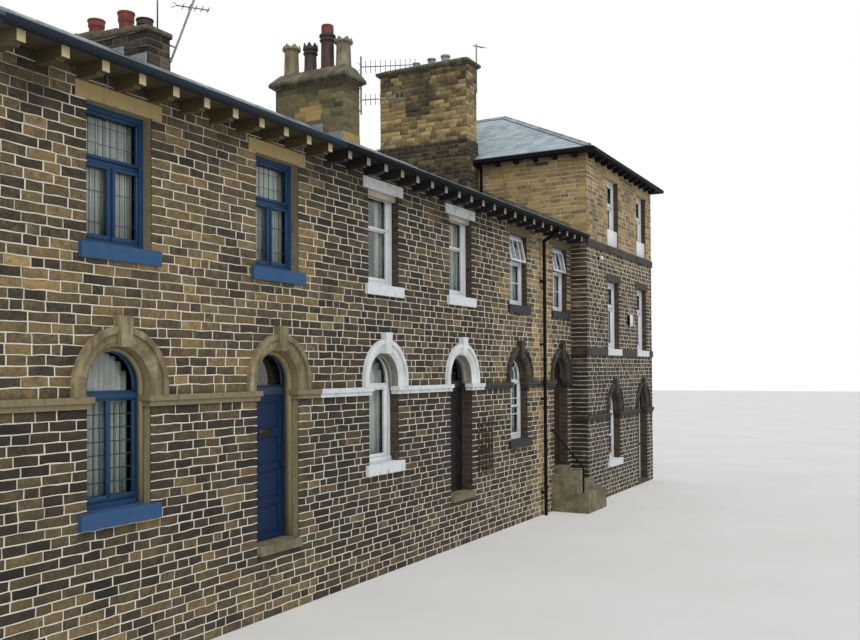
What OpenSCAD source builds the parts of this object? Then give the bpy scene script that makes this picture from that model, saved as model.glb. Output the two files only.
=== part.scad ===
// Stone terrace: three two-storey houses in a row and a three-storey end pavilion.
// X runs along the street front to the right, Y goes back from the street, Z is up.
// The origin is on the ground under the middle of the whole row.

/* [Row of houses] */
// Frontage of a full-width house, party wall centre to party wall centre
house_w = 5400; // [5200:10:5900]
// Frontage of the last, narrower house, next to the pavilion
last_house_w = 4930; // [4910:10:5400]
// Front wall to rear wall, outside
row_depth = 7750; // [7000:50:9000]
// Height of the row's ground floor and door sills above the lowest ground
row_floor_z = 950; // [900:10:1300]
// Floor to first floor, finished surfaces
row_storey_h = 2750; // [2700:10:2900]
// Wall head above the heads of the row's upper windows
row_head_over = 310; // [310:5:500]
// Thickness of the outer stone walls
wall_t = 400; // [340:10:450]
// Thickness of the party walls between the houses
party_t = 300; // [240:10:360]
// Thickness of the floors
floor_t = 180; // [140:10:200]
// Window axis from the left party line
window_x = 1760; // [1600:10:1900]
// Door axis from the left party line
door_x = 4470; // [4300:10:4600]
// Door axis from the left party line in the last house
last_door_x = 4200; // [4150:10:4220]

/* [Openings] */
// Clear width of the ground-floor openings
opening_w = 880; // [840:10:940]
// Springing of the round arches above the floor
spring_h = 2000; // [1960:10:2040]
// Top of the ground-floor window sills above the floor
low_sill_h = 800; // [700:10:950]
// Clear width of the upper windows
up_w = 900; // [840:10:960]
// Top of the upper sills above the first floor
up_sill_over = 850; // [750:10:950]
// Clear height of the row's upper windows
up_h = 1480; // [1400:10:1500]
// Height of a window sill
sill_h = 165; // [140:5:200]
// How far a sill stands out of the wall
sill_out = 60; // [40:5:80]
// How far a sill reaches past its opening at each side
sill_end = 105; // [80:5:140]
// Height of a window lintel
lintel_h = 170; // [140:5:200]
// Bearing of a lintel past its opening at each side
lintel_end = 150; // [120:5:190]
// How far a lintel stands out of the wall
lintel_out = 15; // [10:1:30]
// Depth of the pockets that lintels and sills sit in
pocket = 150; // [120:5:180]

/* [Arches and bands] */
// Outer radius of the hood over an arch
hood_r = 650; // [630:5:700]
// How far the hood stands out
hood_out = 75; // [70:5:110]
// Width of the hood's outer fillet
hood_fillet = 70; // [50:5:90]
// How far the arch stones stand out inside the hood
arch_out = 45; // [40:5:60]
// Height of the straight feet that raise an arch over its band
stilt = 95; // [60:5:110]
// Width of the splay round the opening
splay = 55; // [40:5:70]
// Width of a keystone at its top
key_top = 200; // [150:5:230]
// Width of a keystone at its foot
key_foot = 145; // [120:5:145]
// How far a keystone rises over the hood
key_rise = 110; // [60:5:150]
// How far a keystone stands out
key_out = 105; // [95:5:160]
// How far a keystone hangs below the crown of its arch
key_drop = 10; // [5:1:30]
// Height of the upper course of the impost band
band_top_h = 65; // [50:5:80]
// Height of the lower course of the impost band
band_low_h = 60; // [50:5:80]
// How far the upper course stands out
band_top_out = 60; // [45:5:75]
// How far the lower course stands out
band_low_out = 35; // [20:5:40]
// Depth of the band's return into a doorway
band_return = 110; // [80:5:120]

/* [Joinery] */
// Depth of the reveal in front of an upper window
up_reveal = 120; // [110:5:150]
// Depth of the reveal in front of a ground-floor window
low_reveal = 160; // [130:5:180]
// Depth of the reveal in front of a door
door_reveal = 200; // [170:5:215]
// Width of a window frame
frame_w = 60; // [45:5:75]
// Depth of a window frame
frame_d = 70; // [60:5:90]
// Thickness of the glass
glass_t = 6; // [4:1:10]
// How far the glass laps behind its frame
glass_lap = 12; // [8:1:20]
// Width of a door frame's posts
door_frame_w = 50; // [45:1:60]
// Thickness of the stop that a door leaf closes against
stop_t = 8; // [6:1:15]
// How far the stop laps over the leaf
stop_lap = 15; // [12:1:20]
// Height of the transom over a door
transom_h = 80; // [60:5:100]
// Thickness of a door leaf
leaf_t = 45; // [40:1:50]
// Gap round a door leaf
leaf_gap = 7; // [7:1:9]
// Radius of the hinges' barrels
hinge_r = 9; // [8:1:10]
// Height of a hinge
hinge_h = 110; // [90:5:130]
// Width of a hinge plate
hinge_plate_w = 40; // [30:1:45]
// Projection of a door knob
knob_out = 40; // [30:1:50]
// Radius of a door knob
knob_r = 28; // [22:1:32]
// Radius of a knob's neck
knob_neck_r = 12; // [8:1:15]
// Thickness of a knob
knob_t = 20; // [15:1:25]

/* [Eaves and roof] */
// Overhang of the row's brackets
bracket_out = 380; // [340:5:420]
// Thickness of a bracket
bracket_w = 95; // [80:5:110]
// Height of a bracket's end
bracket_end_h = 115; // [100:5:130]
// Length of a bracket's square end
bracket_nose = 60; // [40:5:80]
// Height of a bracket at the wall
bracket_wall_h = 140; // [135:5:140]
// Bracket spacing, largest
bracket_pitch = 512; // [480:1:560]
// Thickness of soffit and fascia boards
board_t = 20; // [15:1:25]
// Height of the fascia board, from the soffit's underside up
fascia_h = 60; // [55:5:75]
// Width of the half-round gutters
gutter_w = 95; // [85:5:115]
// Height of the gutters' upright rim
gutter_rim = 37; // [30:1:45]
// Thickness of the gutters
gutter_t = 6; // [4:1:10]
// Rim of a gutter below the top of the fascia
gutter_below = 5; // [2:1:10]
// Thickness of the roof's edge over the fascia
eave_edge = 30; // [25:5:40]
// Height of the row's ridge above the wall head
ridge_rise = 2010; // [1900:10:2200]
// Thickness of the roofs, across the slope
roof_t = 150; // [120:5:180]

/* [Pavilion] */
// Frontage of the pavilion
pav_w = 5720; // [5500:10:6200]
// How far the pavilion stands forward of the row, and back of it at the rear
pav_out = 400; // [380:10:600]
// Pavilion ground floor below the row's
pav_drop = 850; // [750:10:850]
// Left window axis from the pavilion's left corner
pav_x1 = 2080; // [1900:10:2200]
// Right axis, of the windows and the door, from the left corner
pav_x2 = 4680; // [4500:10:4750]
// Pavilion ground floor to first floor
pav_storey1_h = 2800; // [2750:10:2900]
// Pavilion first floor to second floor
pav_storey2_h = 2780; // [2750:10:2900]
// Top of the first-floor sills above their floor
pav_sill1_over = 820; // [750:10:850]
// Top of the second-floor sills above their floor
pav_sill2_over = 650; // [600:10:700]
// Clear height of the first-floor windows
pav_up1_h = 1720; // [1600:10:1730]
// Clear height of the second-floor windows
pav_up2_h = 1740; // [1650:10:1740]
// Wall head above the heads of the second-floor windows
pav_head_over = 320; // [300:5:500]
// Height of the pavilion's sill bands
pav_band_h = 175; // [150:5:200]
// How far the sill bands stand out
pav_band_out = 40; // [30:5:60]
// Overhang of the pavilion's brackets
pav_bracket_out = 200; // [180:5:240]
// Height of a pavilion bracket
pav_bracket_h = 110; // [100:5:130]
// Depth of the hollow curve under a pavilion bracket
pav_bracket_curve = 20; // [15:1:25]
// Rise of the pavilion's ridge above its wall head
pav_ridge_rise = 1960; // [1800:10:2200]
// Run of the front and rear hips, eaves to ridge end
pav_hip_run = 3550; // [3300:10:3700]

/* [Chimneys] */
// Width of the stack between the first two houses
stack1_w = 480; // [440:10:600]
// Length of the stack between the first two houses
stack1_l = 1800; // [1600:10:1900]
// Top of that stack above the wall head
stack1_h = 2200; // [2150:10:2500]
// How far the low stacks stand back of the ridge line
stack1_back = 100; // [0:10:150]
// Width of the second stack
stack2_w = 620; // [500:10:700]
// Length of the second stack
stack2_l = 1740; // [1600:10:1900]
// Top of the second stack above the wall head
stack2_h = 2950; // [2700:10:3300]
// Width of the large stack beside the pavilion
stack3_w = 580; // [500:10:700]
// Length of the large stack
stack3_l = 2500; // [2200:10:2600]
// Top of the large stack above the wall head
stack3_h = 4540; // [4300:10:4800]
// Top of the large stack's plinth above the wall head
stack3_plinth_h = 2600; // [2400:10:2700]
// Width of the offset on that plinth
stack3_offset = 40; // [30:5:60]
// How far the large stack's middle stands forward of the ridge line
stack3_forward = 150; // [0:10:200]
// Overhang of the low stacks' top course
cap1_out = 25; // [15:5:60]
// Thickness of that course
cap1_t = 90; // [60:5:110]
// Height of the mortar bed that slopes up to the pots on the low stacks
bed1_h = 80; // [60:5:120]
// Run of that bed's slopes at the front and rear
bed1_run = 160; // [100:5:170]
// Overhang of the second stack's cap slab
cap2_out = 110; // [80:5:130]
// Thickness of the second stack's cap slab
cap2_t = 70; // [50:5:90]
// Height of the second stack's mortar bed
bed2_h = 230; // [150:5:240]
// Run of that bed's slopes at the front and rear
bed2_run = 130; // [110:5:135]
// Overhang of the large stack's cap slab
cap3_out = 90; // [60:5:110]
// Thickness of the large stack's cap slab
cap3_t = 60; // [50:5:80]
// Height of the large stack's mortar bed
bed3_h = 100; // [80:5:130]
// Run of that bed's slopes at the front and rear
bed3_run = 220; // [150:5:260]
// Outer radius of the pots on the low stacks and on the large one
pot_r = 125; // [110:5:145]
// Outer radius of the second stack's pots
pot2_r = 170; // [150:5:180]

/* [Steps and rail] */
// Depth of a tread of the steps to the last door
tread_d = 270; // [240:10:300]
// Rise of those steps
riser = 185; // [165:5:200]
// Width of the steps
steps_w = 1250; // [1150:10:1300]
// Thickness of a door sill stone
doorstep_t = 120; // [100:5:150]
// How far a door sill stone stands out
doorstep_out = 70; // [40:5:75]
// Diameter of the handrail tube
rail_d = 42; // [34:1:48]
// Height of the handrail over the door sill at the wall
rail_h = 900; // [850:10:950]
// Height of the rail's post as a share of that
rail_foot = 0.62; // [0.55:0.01:0.75]

/* [Pipes and poles] */
// Outer radius of the rainwater pipe
pipe_r = 38; // [32:1:45]
// Width of the pipe's wall clips
clip_w = 130; // [110:5:150]
// Height of a wall clip
clip_h = 45; // [30:5:60]
// Start of the pipe's upper bend below the brackets
bend_drop = 160; // [100:10:300]
// Height of the straight piece under the gutter
bend_rise = 60; // [40:5:90]
// How much thicker the pipe is at its bends
collar = 5; // [3:1:8]
// Radius of an aerial pole
pole_r = 18; // [14:1:22]
// Length of the leaning aerial pole
pole_h = 1500; // [900:50:1800]
// Lean of that pole, sideways over its length
pole_lean = 0.45; // [0:0.05:0.5]
// Height of the upright poles
pole_up_h = 1250; // [900:50:1800]
// Axis of a pole beyond the cap that it clears
pole_off = 50; // [40:5:90]
// Axis of a pole behind the front face of its stack
pole_in = 60; // [40:5:120]
// Foot of a pole below the top of a low stack
pole_drop_low = 330; // [300:10:350]
// Foot of a pole below the top of a tall stack
pole_drop = 600; // [500:10:700]
// End of a pole beyond its arms
pole_end = 60; // [40:10:80]

/* [Hidden] */

$fn = 48;

// Clearance of curved or fitted faces
seat = 0.3;
// Thickness of a hinge plate
hinge_plate_t = 4;
// Overlap of a cutting shape past the face that it cuts
cut = 10;
// Gap between the row's front gutter and what it ends at
gutter_gap = 5;

// Lengths along the front, from the row's left end
line_ab = house_w;
line_bc = 2 * house_w;
row_w = line_bc + last_house_w;
pav_x0 = row_w;
total_w = row_w + pav_w + pav_bracket_out + board_t + gutter_w;
window_axes = [window_x, line_ab + window_x, line_bc + window_x];
door_axes = [door_x, line_ab + door_x, line_bc + last_door_x];
axes_by_house = [for (i = [0:2]) [window_axes[i], door_axes[i]]];
bay_axes = [for (i = [0:2]) for (x = axes_by_house[i]) x];
pav_axes = [pav_x0 + pav_x1, pav_x0 + pav_x2];

// Heights above the lowest ground
spring_z = row_floor_z + spring_h;
up_floor_z = row_floor_z + row_storey_h;
low_sill_z = row_floor_z + low_sill_h;
up_sill_z = up_floor_z + up_sill_over;
row_head_z = up_sill_z + up_h + row_head_over;
plinth_z = row_floor_z - doorstep_t;
pav_floor_z = row_floor_z - pav_drop;
pav_spring_z = pav_floor_z + spring_h;
pav_floor1_z = pav_floor_z + pav_storey1_h;
pav_floor2_z = pav_floor1_z + pav_storey2_h;
pav_sill1_z = pav_floor1_z + pav_sill1_over;
pav_sill2_z = pav_floor2_z + pav_sill2_over;
pav_head_z = pav_sill2_z + pav_up2_h + pav_head_over;
pav_depth = row_depth + 2 * pav_out;

// The steps reach furthest forward and the pavilion's gutter furthest back
front_reach = doorstep_out + 3 * tread_d;
rear_reach = row_depth + pav_out + pav_bracket_out + board_t + gutter_w;
origin_x = total_w / 2;
origin_y = (rear_reach - front_reach) / 2;

// Roof slopes: the eave line is over the fascia, the ridge over the middle of the row
eave_out = bracket_out + board_t;
fascia_z = row_head_z + fascia_h;
eave_z = fascia_z + eave_edge;
ridge_y = row_depth / 2;
ridge_z = row_head_z + ridge_rise;
slope = (ridge_z - eave_z) / (ridge_y + eave_out);
roof_drop = roof_t * sqrt(1 + slope * slope);
function roof_top(y) = y <= ridge_y ? eave_z + slope * (y + eave_out) : roof_top(2 * ridge_y - y);
function roof_under(y) = roof_top(y) - roof_drop;

arch_r = opening_w / 2;

// Puts the row's own lengths into the frame whose origin is under the middle
module placed() {
    translate([-origin_x, -origin_y, 0]) children();
}

// Stands a drawing of a wall upright, its outer or front face at y and its back at y + t
module upright(y, t) {
    translate([0, y + t, 0]) rotate([90, 0, 0]) linear_extrude(t) children();
}

// Extrudes a section drawn in Y and Z along X, from x to x + l
module along(x, l) {
    translate([x, 0, 0]) rotate([90, 0, 90]) linear_extrude(l) children();
}

// Outline of an opening with a round head, stilted over its springing at z1; its foot is at z0
module arched(x, z0, z1, r) {
    translate([x - r, z0]) square([2 * r, z1 + stilt - z0]);
    intersection() {
        translate([x, z1 + stilt]) circle(r);
        translate([x - r, z1 + stilt]) square([2 * r, 2 * r]);
    }
}

module flat(x, z0, h, w) {
    translate([x - w / 2, z0]) square([w, h]);
}

// Everything above the underside of the row's roof
module over_row_roof() {
    along(-cut, row_w + 2 * cut)
        polygon([
            [-eave_out - cut, roof_under(-eave_out - cut)], [ridge_y, roof_under(ridge_y)],
            [row_depth + eave_out + cut, roof_under(-eave_out - cut)],
            [row_depth + eave_out + cut, ridge_z * 2], [-eave_out - cut, ridge_z * 2]
        ]);
}

// Pockets for the lintel and the sill of a flat-headed window, cut in from a face at y
module head_and_sill_cut(x, z0, h, y, dir) {
    lintel(x, z0 + h, y, dir, lintel_out + cut);
    sill(x, z0, y, dir, sill_out + cut);
}

// A lintel over a window whose head is at z; dir is -1 on a front and 1 on a rear face
module lintel(x, z, y, dir, out) {
    y0 = dir < 0 ? y - out : y - pocket;
    translate([x - up_w / 2 - lintel_end, y0, z]) cube([up_w + 2 * lintel_end, out + pocket, lintel_h]);
}

module sill(x, z, y, dir, out) {
    y0 = dir < 0 ? y - out : y - pocket;
    translate([x - up_w / 2 - sill_end, y0, z - sill_h]) cube([up_w + 2 * sill_end, out + pocket, sill_h]);
}

module row_openings() {
    for (x = window_axes) arched(x, low_sill_z, spring_z, arch_r);
    for (x = door_axes) arched(x, row_floor_z, spring_z, arch_r);
    for (x = bay_axes) flat(x, up_sill_z, up_h, up_w);
}

// Foot of the row's front, from the lowest ground up to the door sill stones
module row_plinth() {
    color("#5d5140") placed() cube([row_w, wall_t, plinth_z]);
}

// Ground storey of the front, one piece of wall between each two doorways
module row_front_wall_lower() {
    color("#6b5a42") placed() difference() {
        upright(0, wall_t) difference() {
            translate([0, plinth_z]) square([row_w, spring_z - plinth_z]);
            for (x = window_axes) flat(x, low_sill_z, spring_h, opening_w);
            for (x = door_axes) flat(x, 0, spring_z + cut, opening_w);
        }
        for (x = window_axes) sill(x, low_sill_z, 0, -1, sill_out + cut);
    }
}

// The front above the springing of the arches, up to the roof
module row_front_wall_upper() {
    color("#65543c") placed() difference() {
        upright(0, wall_t) difference() {
            translate([0, spring_z]) square([row_w, ridge_z - spring_z]);
            row_openings();
        }
        over_row_roof();
        for (x = bay_axes) head_and_sill_cut(x, up_sill_z, up_h, 0, -1);
    }
}

// The unseen rear repeats the two rows of windows
module row_rear_wall() {
    y = row_depth - wall_t;
    color("#65543c") placed() difference() {
        upright(y, wall_t) difference() {
            square([row_w, ridge_z]);
            for (x = bay_axes) {
                flat(x, low_sill_z, up_h, up_w);
                flat(x, up_sill_z, up_h, up_w);
            }
        }
        over_row_roof();
        for (x = bay_axes) {
            head_and_sill_cut(x, low_sill_z, up_h, row_depth, 1);
            head_and_sill_cut(x, up_sill_z, up_h, row_depth, 1);
        }
    }
}

// A wall from front to rear under the roof, between the outer walls
module cross_wall(x, t) {
    difference() {
        translate([x, wall_t, 0]) cube([t, row_depth - 2 * wall_t, ridge_z]);
        over_row_roof();
    }
}

module end_wall() {
    color("#5f5039") placed() cross_wall(0, party_t);
}

module party_walls() {
    color("#5f5039") placed() {
        cross_wall(line_ab - party_t / 2, party_t);
        cross_wall(line_bc - party_t / 2, party_t);
    }
}

// Clear spans between the cross walls, as start and length
function room_spans() = [
    [party_t, line_ab - 1.5 * party_t], [line_ab + party_t / 2, house_w - party_t],
    [line_bc + party_t / 2, last_house_w - party_t / 2]
];

module row_floor(top) {
    for (s = room_spans())
        translate([s[0], wall_t, top - floor_t]) cube([s[1], row_depth - 2 * wall_t, floor_t]);
}

module ground_floors() {
    color("#8b7a5e") placed() row_floor(row_floor_z);
}

module upper_floors() {
    color("#8b7a5e") placed() row_floor(up_floor_z);
}

// One slope of the row's roof, with notches where the stacks come through at the ridge
module roof_slope(far) {
    difference() {
        translate([0, far ? row_depth : 0, 0]) mirror([0, far ? 1 : 0, 0]) along(0, row_w)
            difference() {
                polygon([
                    [-eave_out, roof_top(-eave_out)], [ridge_y, ridge_z],
                    [ridge_y, ridge_z - roof_drop], [-eave_out, roof_under(-eave_out)]
                ]);
                translate([-eave_out - cut, 0]) square([eave_out + cut, fascia_z]);
            }
        for (s = stacks()) stack_shaft(s, seat);
    }
}

module roof_slope_front() {
    color("#5c656d") placed() roof_slope(false);
}

module roof_slope_rear() {
    color("#5c656d") placed() roof_slope(true);
}

// Left edge, width, length, top and front face of each stack
function stacks() = [
    for (s = [
        [0, stack1_w, stack1_l, stack1_h, stack1_back],
        [line_ab - stack1_w / 2, stack1_w, stack1_l, stack1_h, stack1_back],
        [line_bc - stack2_w / 2, stack2_w, stack2_l, stack2_h, 0],
        [row_w - stack3_w, stack3_w, stack3_l, stack3_h, -stack3_forward]
    ]) [s[0], s[1], s[2], row_head_z + s[3], ridge_y + s[4] - s[2] / 2]
];

// Overhang and thickness of each stack's cap, height of its bed, radius of its pots and run of the bed's slopes
caps = [
    [cap1_out, cap1_t, bed1_h, pot_r, bed1_run], [cap1_out, cap1_t, bed1_h, pot_r, bed1_run],
    [cap2_out, cap2_t, bed2_h, pot2_r, bed2_run], [cap3_out, cap3_t, bed3_h, pot_r, bed3_run]
];
// Share of a cap's width that each side slope of its bed takes
bed_share = 0.28;

// Plain shaft of a stack from the row's wall head up, larger all round by grow
module stack_shaft(s, grow) {
    translate([s[0] - grow, s[4] - grow, row_head_z])
        cube([s[1] + 2 * grow, s[2] + 2 * grow, s[3] - row_head_z]);
}

// The part of a stack that stands on the party wall, from the roof's underside up
module stack_on_wall(s) {
    intersection() {
        stack_shaft(s, 0);
        over_row_roof();
    }
}

// Cap of a stack: it is flush with the end wall on the first one
function cap_x(s, out) = max(s[0] - out, 0);
function cap_w(s, out) = s[0] + s[1] + out - cap_x(s, out);

// Sloped section of a mortar bed over a length l from a, its slopes a run long
module bed_section(a, l, z, run, h) {
    polygon([
        [a, z - cut], [a, z], [a + run, z + h], [a + l - run, z + h], [a + l, z], [a + l, z - cut]
    ]);
}

// Cap slab and the mortar bed on it, which leaves a flat strip for the pots
module stack_cap(s, c) {
    x = cap_x(s, c[0]);
    w = cap_w(s, c[0]);
    y = s[4] - c[0];
    l = s[2] + 2 * c[0];
    translate([x, y, s[3]]) cube([w, l, c[1]]);
    intersection() {
        along(x, w) bed_section(y, l, s[3] + c[1], c[4], c[2]);
        upright(y, l) bed_section(x, w, s[3] + c[1], w * bed_share, c[2]);
    }
}

module chimney_stack_end() {
    color("#5b4d37") placed() {
        stack_on_wall(stacks()[0]);
        stack_cap(stacks()[0], caps[0]);
    }
}

module chimney_stack_ab() {
    color("#5b4d37") placed() {
        stack_on_wall(stacks()[1]);
        stack_cap(stacks()[1], caps[1]);
    }
}

module chimney_stack_bc() {
    color("#6a5835") placed() {
        stack_on_wall(stacks()[2]);
        stack_cap(stacks()[2], caps[2]);
    }
}

// The large stack stands against the pavilion's side wall
module chimney_stack_cd() {
    s = stacks()[3];
    color("#8a6d3c") placed() {
        stack_on_wall(s);
        difference() {
            translate([s[0] - stack3_offset, s[4] - stack3_offset, row_head_z])
                cube([s[1] + stack3_offset, s[2] + 2 * stack3_offset, stack3_plinth_h]);
            under_row_roof_top();
        }
        stack_cap(s, caps[3]);
    }
}

// Everything below the top face of the row's roof
module under_row_roof_top() {
    along(-cut, row_w + 2 * cut)
        polygon([
            [-eave_out, 0], [-eave_out, roof_top(-eave_out)], [ridge_y, ridge_z],
            [row_depth + eave_out, roof_top(-eave_out)], [row_depth + eave_out, 0]
        ]);
}

// A pot of given height, open at the top, with a ring at its neck and a rim
module pot(x, y, z, h, r) {
    translate([x, y, z]) rotate_extrude() polygon([
        [r * 0.72, 0], [r, 0], [r * 0.84, h * 0.72], [r, h * 0.76], [r, h * 0.84],
        [r * 0.86, h * 0.88], [r * 1.06, h * 0.95], [r * 1.06, h], [r * 0.72, h]
    ]);
}

// Heights of each stack's pots, from the rear to the front
pot_heights = [
    [160, 240, 220],
    [160, 240, 220],
    [700, 680, 960, 700],
    [120, 160, 180]
];
// Axes of the pots as shares of the stack's length, back from its front face
pot_shares = [
    [0.78, 0.4, 0.17],
    [0.78, 0.4, 0.17],
    [0.89, 0.6, 0.345, 0.11],
    [0.63, 0.45, 0.29]
];

module chimney_pots() {
    color("#7c4030") placed() for (k = [0:3]) {
        s = stacks()[k];
        c = caps[k];
        for (i = [0:len(pot_heights[k]) - 1])
            pot(
                cap_x(s, c[0]) + cap_w(s, c[0]) / 2, s[4] + s[2] * pot_shares[k][i],
                s[3] + c[1] + c[2], pot_heights[k][i], c[3]
            );
    }
}

// One eaves bracket: square end, hollow curve, level foot to the wall
module bracket(x, y, z, out, end_h, wall_h) {
    curve = wall_h - end_h;
    translate([x - bracket_w / 2, y, z - wall_h]) rotate([90, 0, 90]) linear_extrude(bracket_w)
        difference() {
            translate([-out, 0]) square([out, wall_h]);
            translate([-out - cut, -cut]) square([bracket_nose + cut, curve + cut]);
            translate([-out + bracket_nose, 0]) circle(curve);
        }
}

// Bracket axes along a stretch, evenly spaced and no further apart than the pitch
function bracket_axes(x0, x1) = let (n = ceil((x1 - x0) / bracket_pitch))
    [for (i = [0:n - 1]) x0 + (i + 0.5) * (x1 - x0) / n];

module row_brackets(x0, x1) {
    for (x = bracket_axes(x0, x1)) {
        bracket(x, 0, row_head_z, bracket_out, bracket_end_h, bracket_wall_h);
        translate([0, row_depth, 0]) mirror([0, 1, 0])
            bracket(x, 0, row_head_z, bracket_out, bracket_end_h, bracket_wall_h);
    }
}

module eaves_brackets_a() {
    color("#cdbd8e") placed() row_brackets(0, line_ab);
}

module eaves_brackets_bc() {
    color("#3a3833") placed() row_brackets(line_ab, row_w);
}

// Soffit and fascia boards of the row, front and rear
module eaves_boards() {
    color("#c9ba8c") placed() for (far = [0, 1])
        translate([0, far * row_depth, 0]) mirror([0, far, 0]) {
            translate([0, -bracket_out, row_head_z]) cube([row_w, bracket_out, board_t]);
            translate([0, -eave_out, row_head_z]) cube([row_w, board_t, fascia_h]);
        }
}

// Section of a gutter that hangs on a fascia whose front face is at y = 0
module gutter_section() {
    r = gutter_w / 2;
    translate([-r, 0]) difference() {
        union() {
            circle(r);
            translate([-r, 0]) square([gutter_w, gutter_rim]);
        }
        circle(r - gutter_t);
        translate([-r + gutter_t, 0]) square([gutter_w - 2 * gutter_t, gutter_rim + cut]);
        translate([-r, gutter_rim]) square([gutter_w, gutter_w]);
    }
}

gutter_z = fascia_z - gutter_below - gutter_rim;

module row_gutter(x0, x1) {
    for (far = [0, 1])
        translate([0, far * row_depth, 0]) mirror([0, far, 0])
            translate([0, -eave_out, gutter_z]) along(x0, x1 - x0) gutter_section();
}

module gutter_a() {
    color("#27405f") placed() row_gutter(0, line_ab);
}

module gutter_bc() {
    color("#26282a") placed() row_gutter(line_ab, row_w - gutter_gap);
}

// The two courses of an impost band, as height of the foot below the top, height and projection
courses = [[band_top_h, band_top_h, band_top_out], [band_top_h + band_low_h, band_low_h, band_low_out]];

// A two-course band in front of a face at y between x0 and x1, its top at z
module band(x0, x1, y, z) {
    for (c = courses) translate([x0, y - c[2], z - c[0]]) cube([x1 - x0, c[2], c[1]]);
}

// The returns of the band on the two sides of an opening
module band_returns(x, y, z) {
    for (side = [0, 1], c = courses)
        translate([x, y, z - c[0]]) mirror([side, 0, 0])
            translate([arch_r - c[2], -c[2], 0]) cube([c[2], c[2] + band_return, c[1]]);
}

// Stretches of a band between openings, as pairs of ends
function stretches(x0, x1, axes) = [
    for (i = [0:len(axes)]) [i == 0 ? x0 : axes[i - 1] + arch_r, i == len(axes) ? x1 : axes[i] - arch_r]
];

module string_course() {
    color("#a39a78") placed() {
        for (s = stretches(0, row_w, bay_axes)) band(s[0], s[1], 0, spring_z);
        for (x = bay_axes) band_returns(x, 0, spring_z);
    }
}

// Section of the splayed arch stones and the hood, as distance from the arch's axis and projection
ring_section = [
    [arch_r, 0], [arch_r + splay, arch_out], [hood_r - hood_fillet, arch_out],
    [hood_r - hood_fillet, hood_out], [hood_r, hood_out], [hood_r, 0]
];

// Arch stones and hood round a stilted head, on a face at y = 0, with the springing at z = 0
module arch_ring() {
    translate([0, 0, stilt]) rotate([90, 0, 0]) rotate_extrude(angle = 180) polygon(ring_section);
    for (side = [0, 1]) mirror([side, 0, 0]) linear_extrude(stilt) polygon([for (p = ring_section) [p[0], -p[1]]]);
}

module keystone() {
    foot_z = stilt + arch_r - key_drop;
    top_z = stilt + hood_r + key_rise;
    upright(-key_out, key_out) polygon([
        [-key_foot / 2, foot_z], [key_foot / 2, foot_z], [key_top / 2, top_z], [-key_top / 2, top_z]
    ]);
}

module arch_stones(x, y, z) {
    translate([x, y, z]) {
        arch_ring();
        keystone();
    }
}

module arch_stones_a() {
    color("#a89c78") placed() for (x = axes_by_house[0]) arch_stones(x, 0, spring_z);
}

module arch_stones_b() {
    color("#e4e6e2") placed() for (x = axes_by_house[1]) arch_stones(x, 0, spring_z);
}

module arch_stones_c() {
    color("#4b443a") placed() for (x = axes_by_house[2]) arch_stones(x, 0, spring_z);
}

module lintels() {
    color("#c2b187") placed() for (x = bay_axes) {
        lintel(x, up_sill_z + up_h, 0, -1, lintel_out);
        lintel(x, up_sill_z + up_h, row_depth, 1, lintel_out);
        lintel(x, low_sill_z + up_h, row_depth, 1, lintel_out);
    }
}

module sills() {
    color("#9aa0a6") placed() {
        for (x = bay_axes) {
            sill(x, up_sill_z, 0, -1, sill_out);
            sill(x, up_sill_z, row_depth, 1, sill_out);
            sill(x, low_sill_z, row_depth, 1, sill_out);
        }
        for (x = window_axes) sill(x, low_sill_z, 0, -1, sill_out);
    }
}

// Frame of a flat-headed window, its front at y
module flat_frame(x, z, h, y) {
    upright(y, frame_d) difference() {
        flat(x, z, h, up_w);
        flat(x, z + frame_w, h - 2 * frame_w, up_w - 2 * frame_w);
    }
}

// Frame of an arched window, with a transom at the springing
module arched_frame(x, z0, z1, y) {
    upright(y, frame_d) difference() {
        arched(x, z0, z1, arch_r - seat);
        arched(x, z1 + frame_w / 2, z1 + frame_w / 2, arch_r - frame_w);
        translate([x - arch_r + frame_w, z0 + frame_w])
            square([opening_w - 2 * frame_w, z1 - z0 - frame_w * 1.5]);
    }
}

module window_frames_a() {
    color("#2b4a72") placed() {
        for (x = axes_by_house[0]) flat_frame(x, up_sill_z, up_h, up_reveal);
        arched_frame(window_axes[0], low_sill_z, spring_z, low_reveal);
    }
}

rear_frame_y = row_depth - up_reveal - frame_d;

module window_frames_bc() {
    color("#e8eae8") placed() {
        for (i = [1, 2]) {
            for (x = axes_by_house[i]) flat_frame(x, up_sill_z, up_h, up_reveal);
            arched_frame(window_axes[i], low_sill_z, spring_z, low_reveal);
        }
        for (x = bay_axes) {
            flat_frame(x, up_sill_z, up_h, rear_frame_y);
            flat_frame(x, low_sill_z, up_h, rear_frame_y);
        }
    }
}

// A pane lapped behind a flat frame whose back is at y; dir is 1 where the room is at +Y
module flat_pane(x, z, h, y, dir) {
    upright(dir > 0 ? y : y - glass_t, glass_t)
        flat(x, z + frame_w - glass_lap, h - 2 * (frame_w - glass_lap), up_w - 2 * (frame_w - glass_lap));
}

module arched_pane(x, z0, z1, y) {
    upright(y, glass_t) arched(x, z0 + frame_w - glass_lap, z1 + frame_w / 2, arch_r - frame_w + glass_lap);
}

// The glazed head over a door, above the transom
module fanlight_pane(x, z, y) {
    foot_z = z + transom_h / 2 - glass_lap;
    upright(y, glass_t) arched(x, foot_z, foot_z + glass_lap / 2, arch_r - door_frame_w + glass_lap);
}

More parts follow.
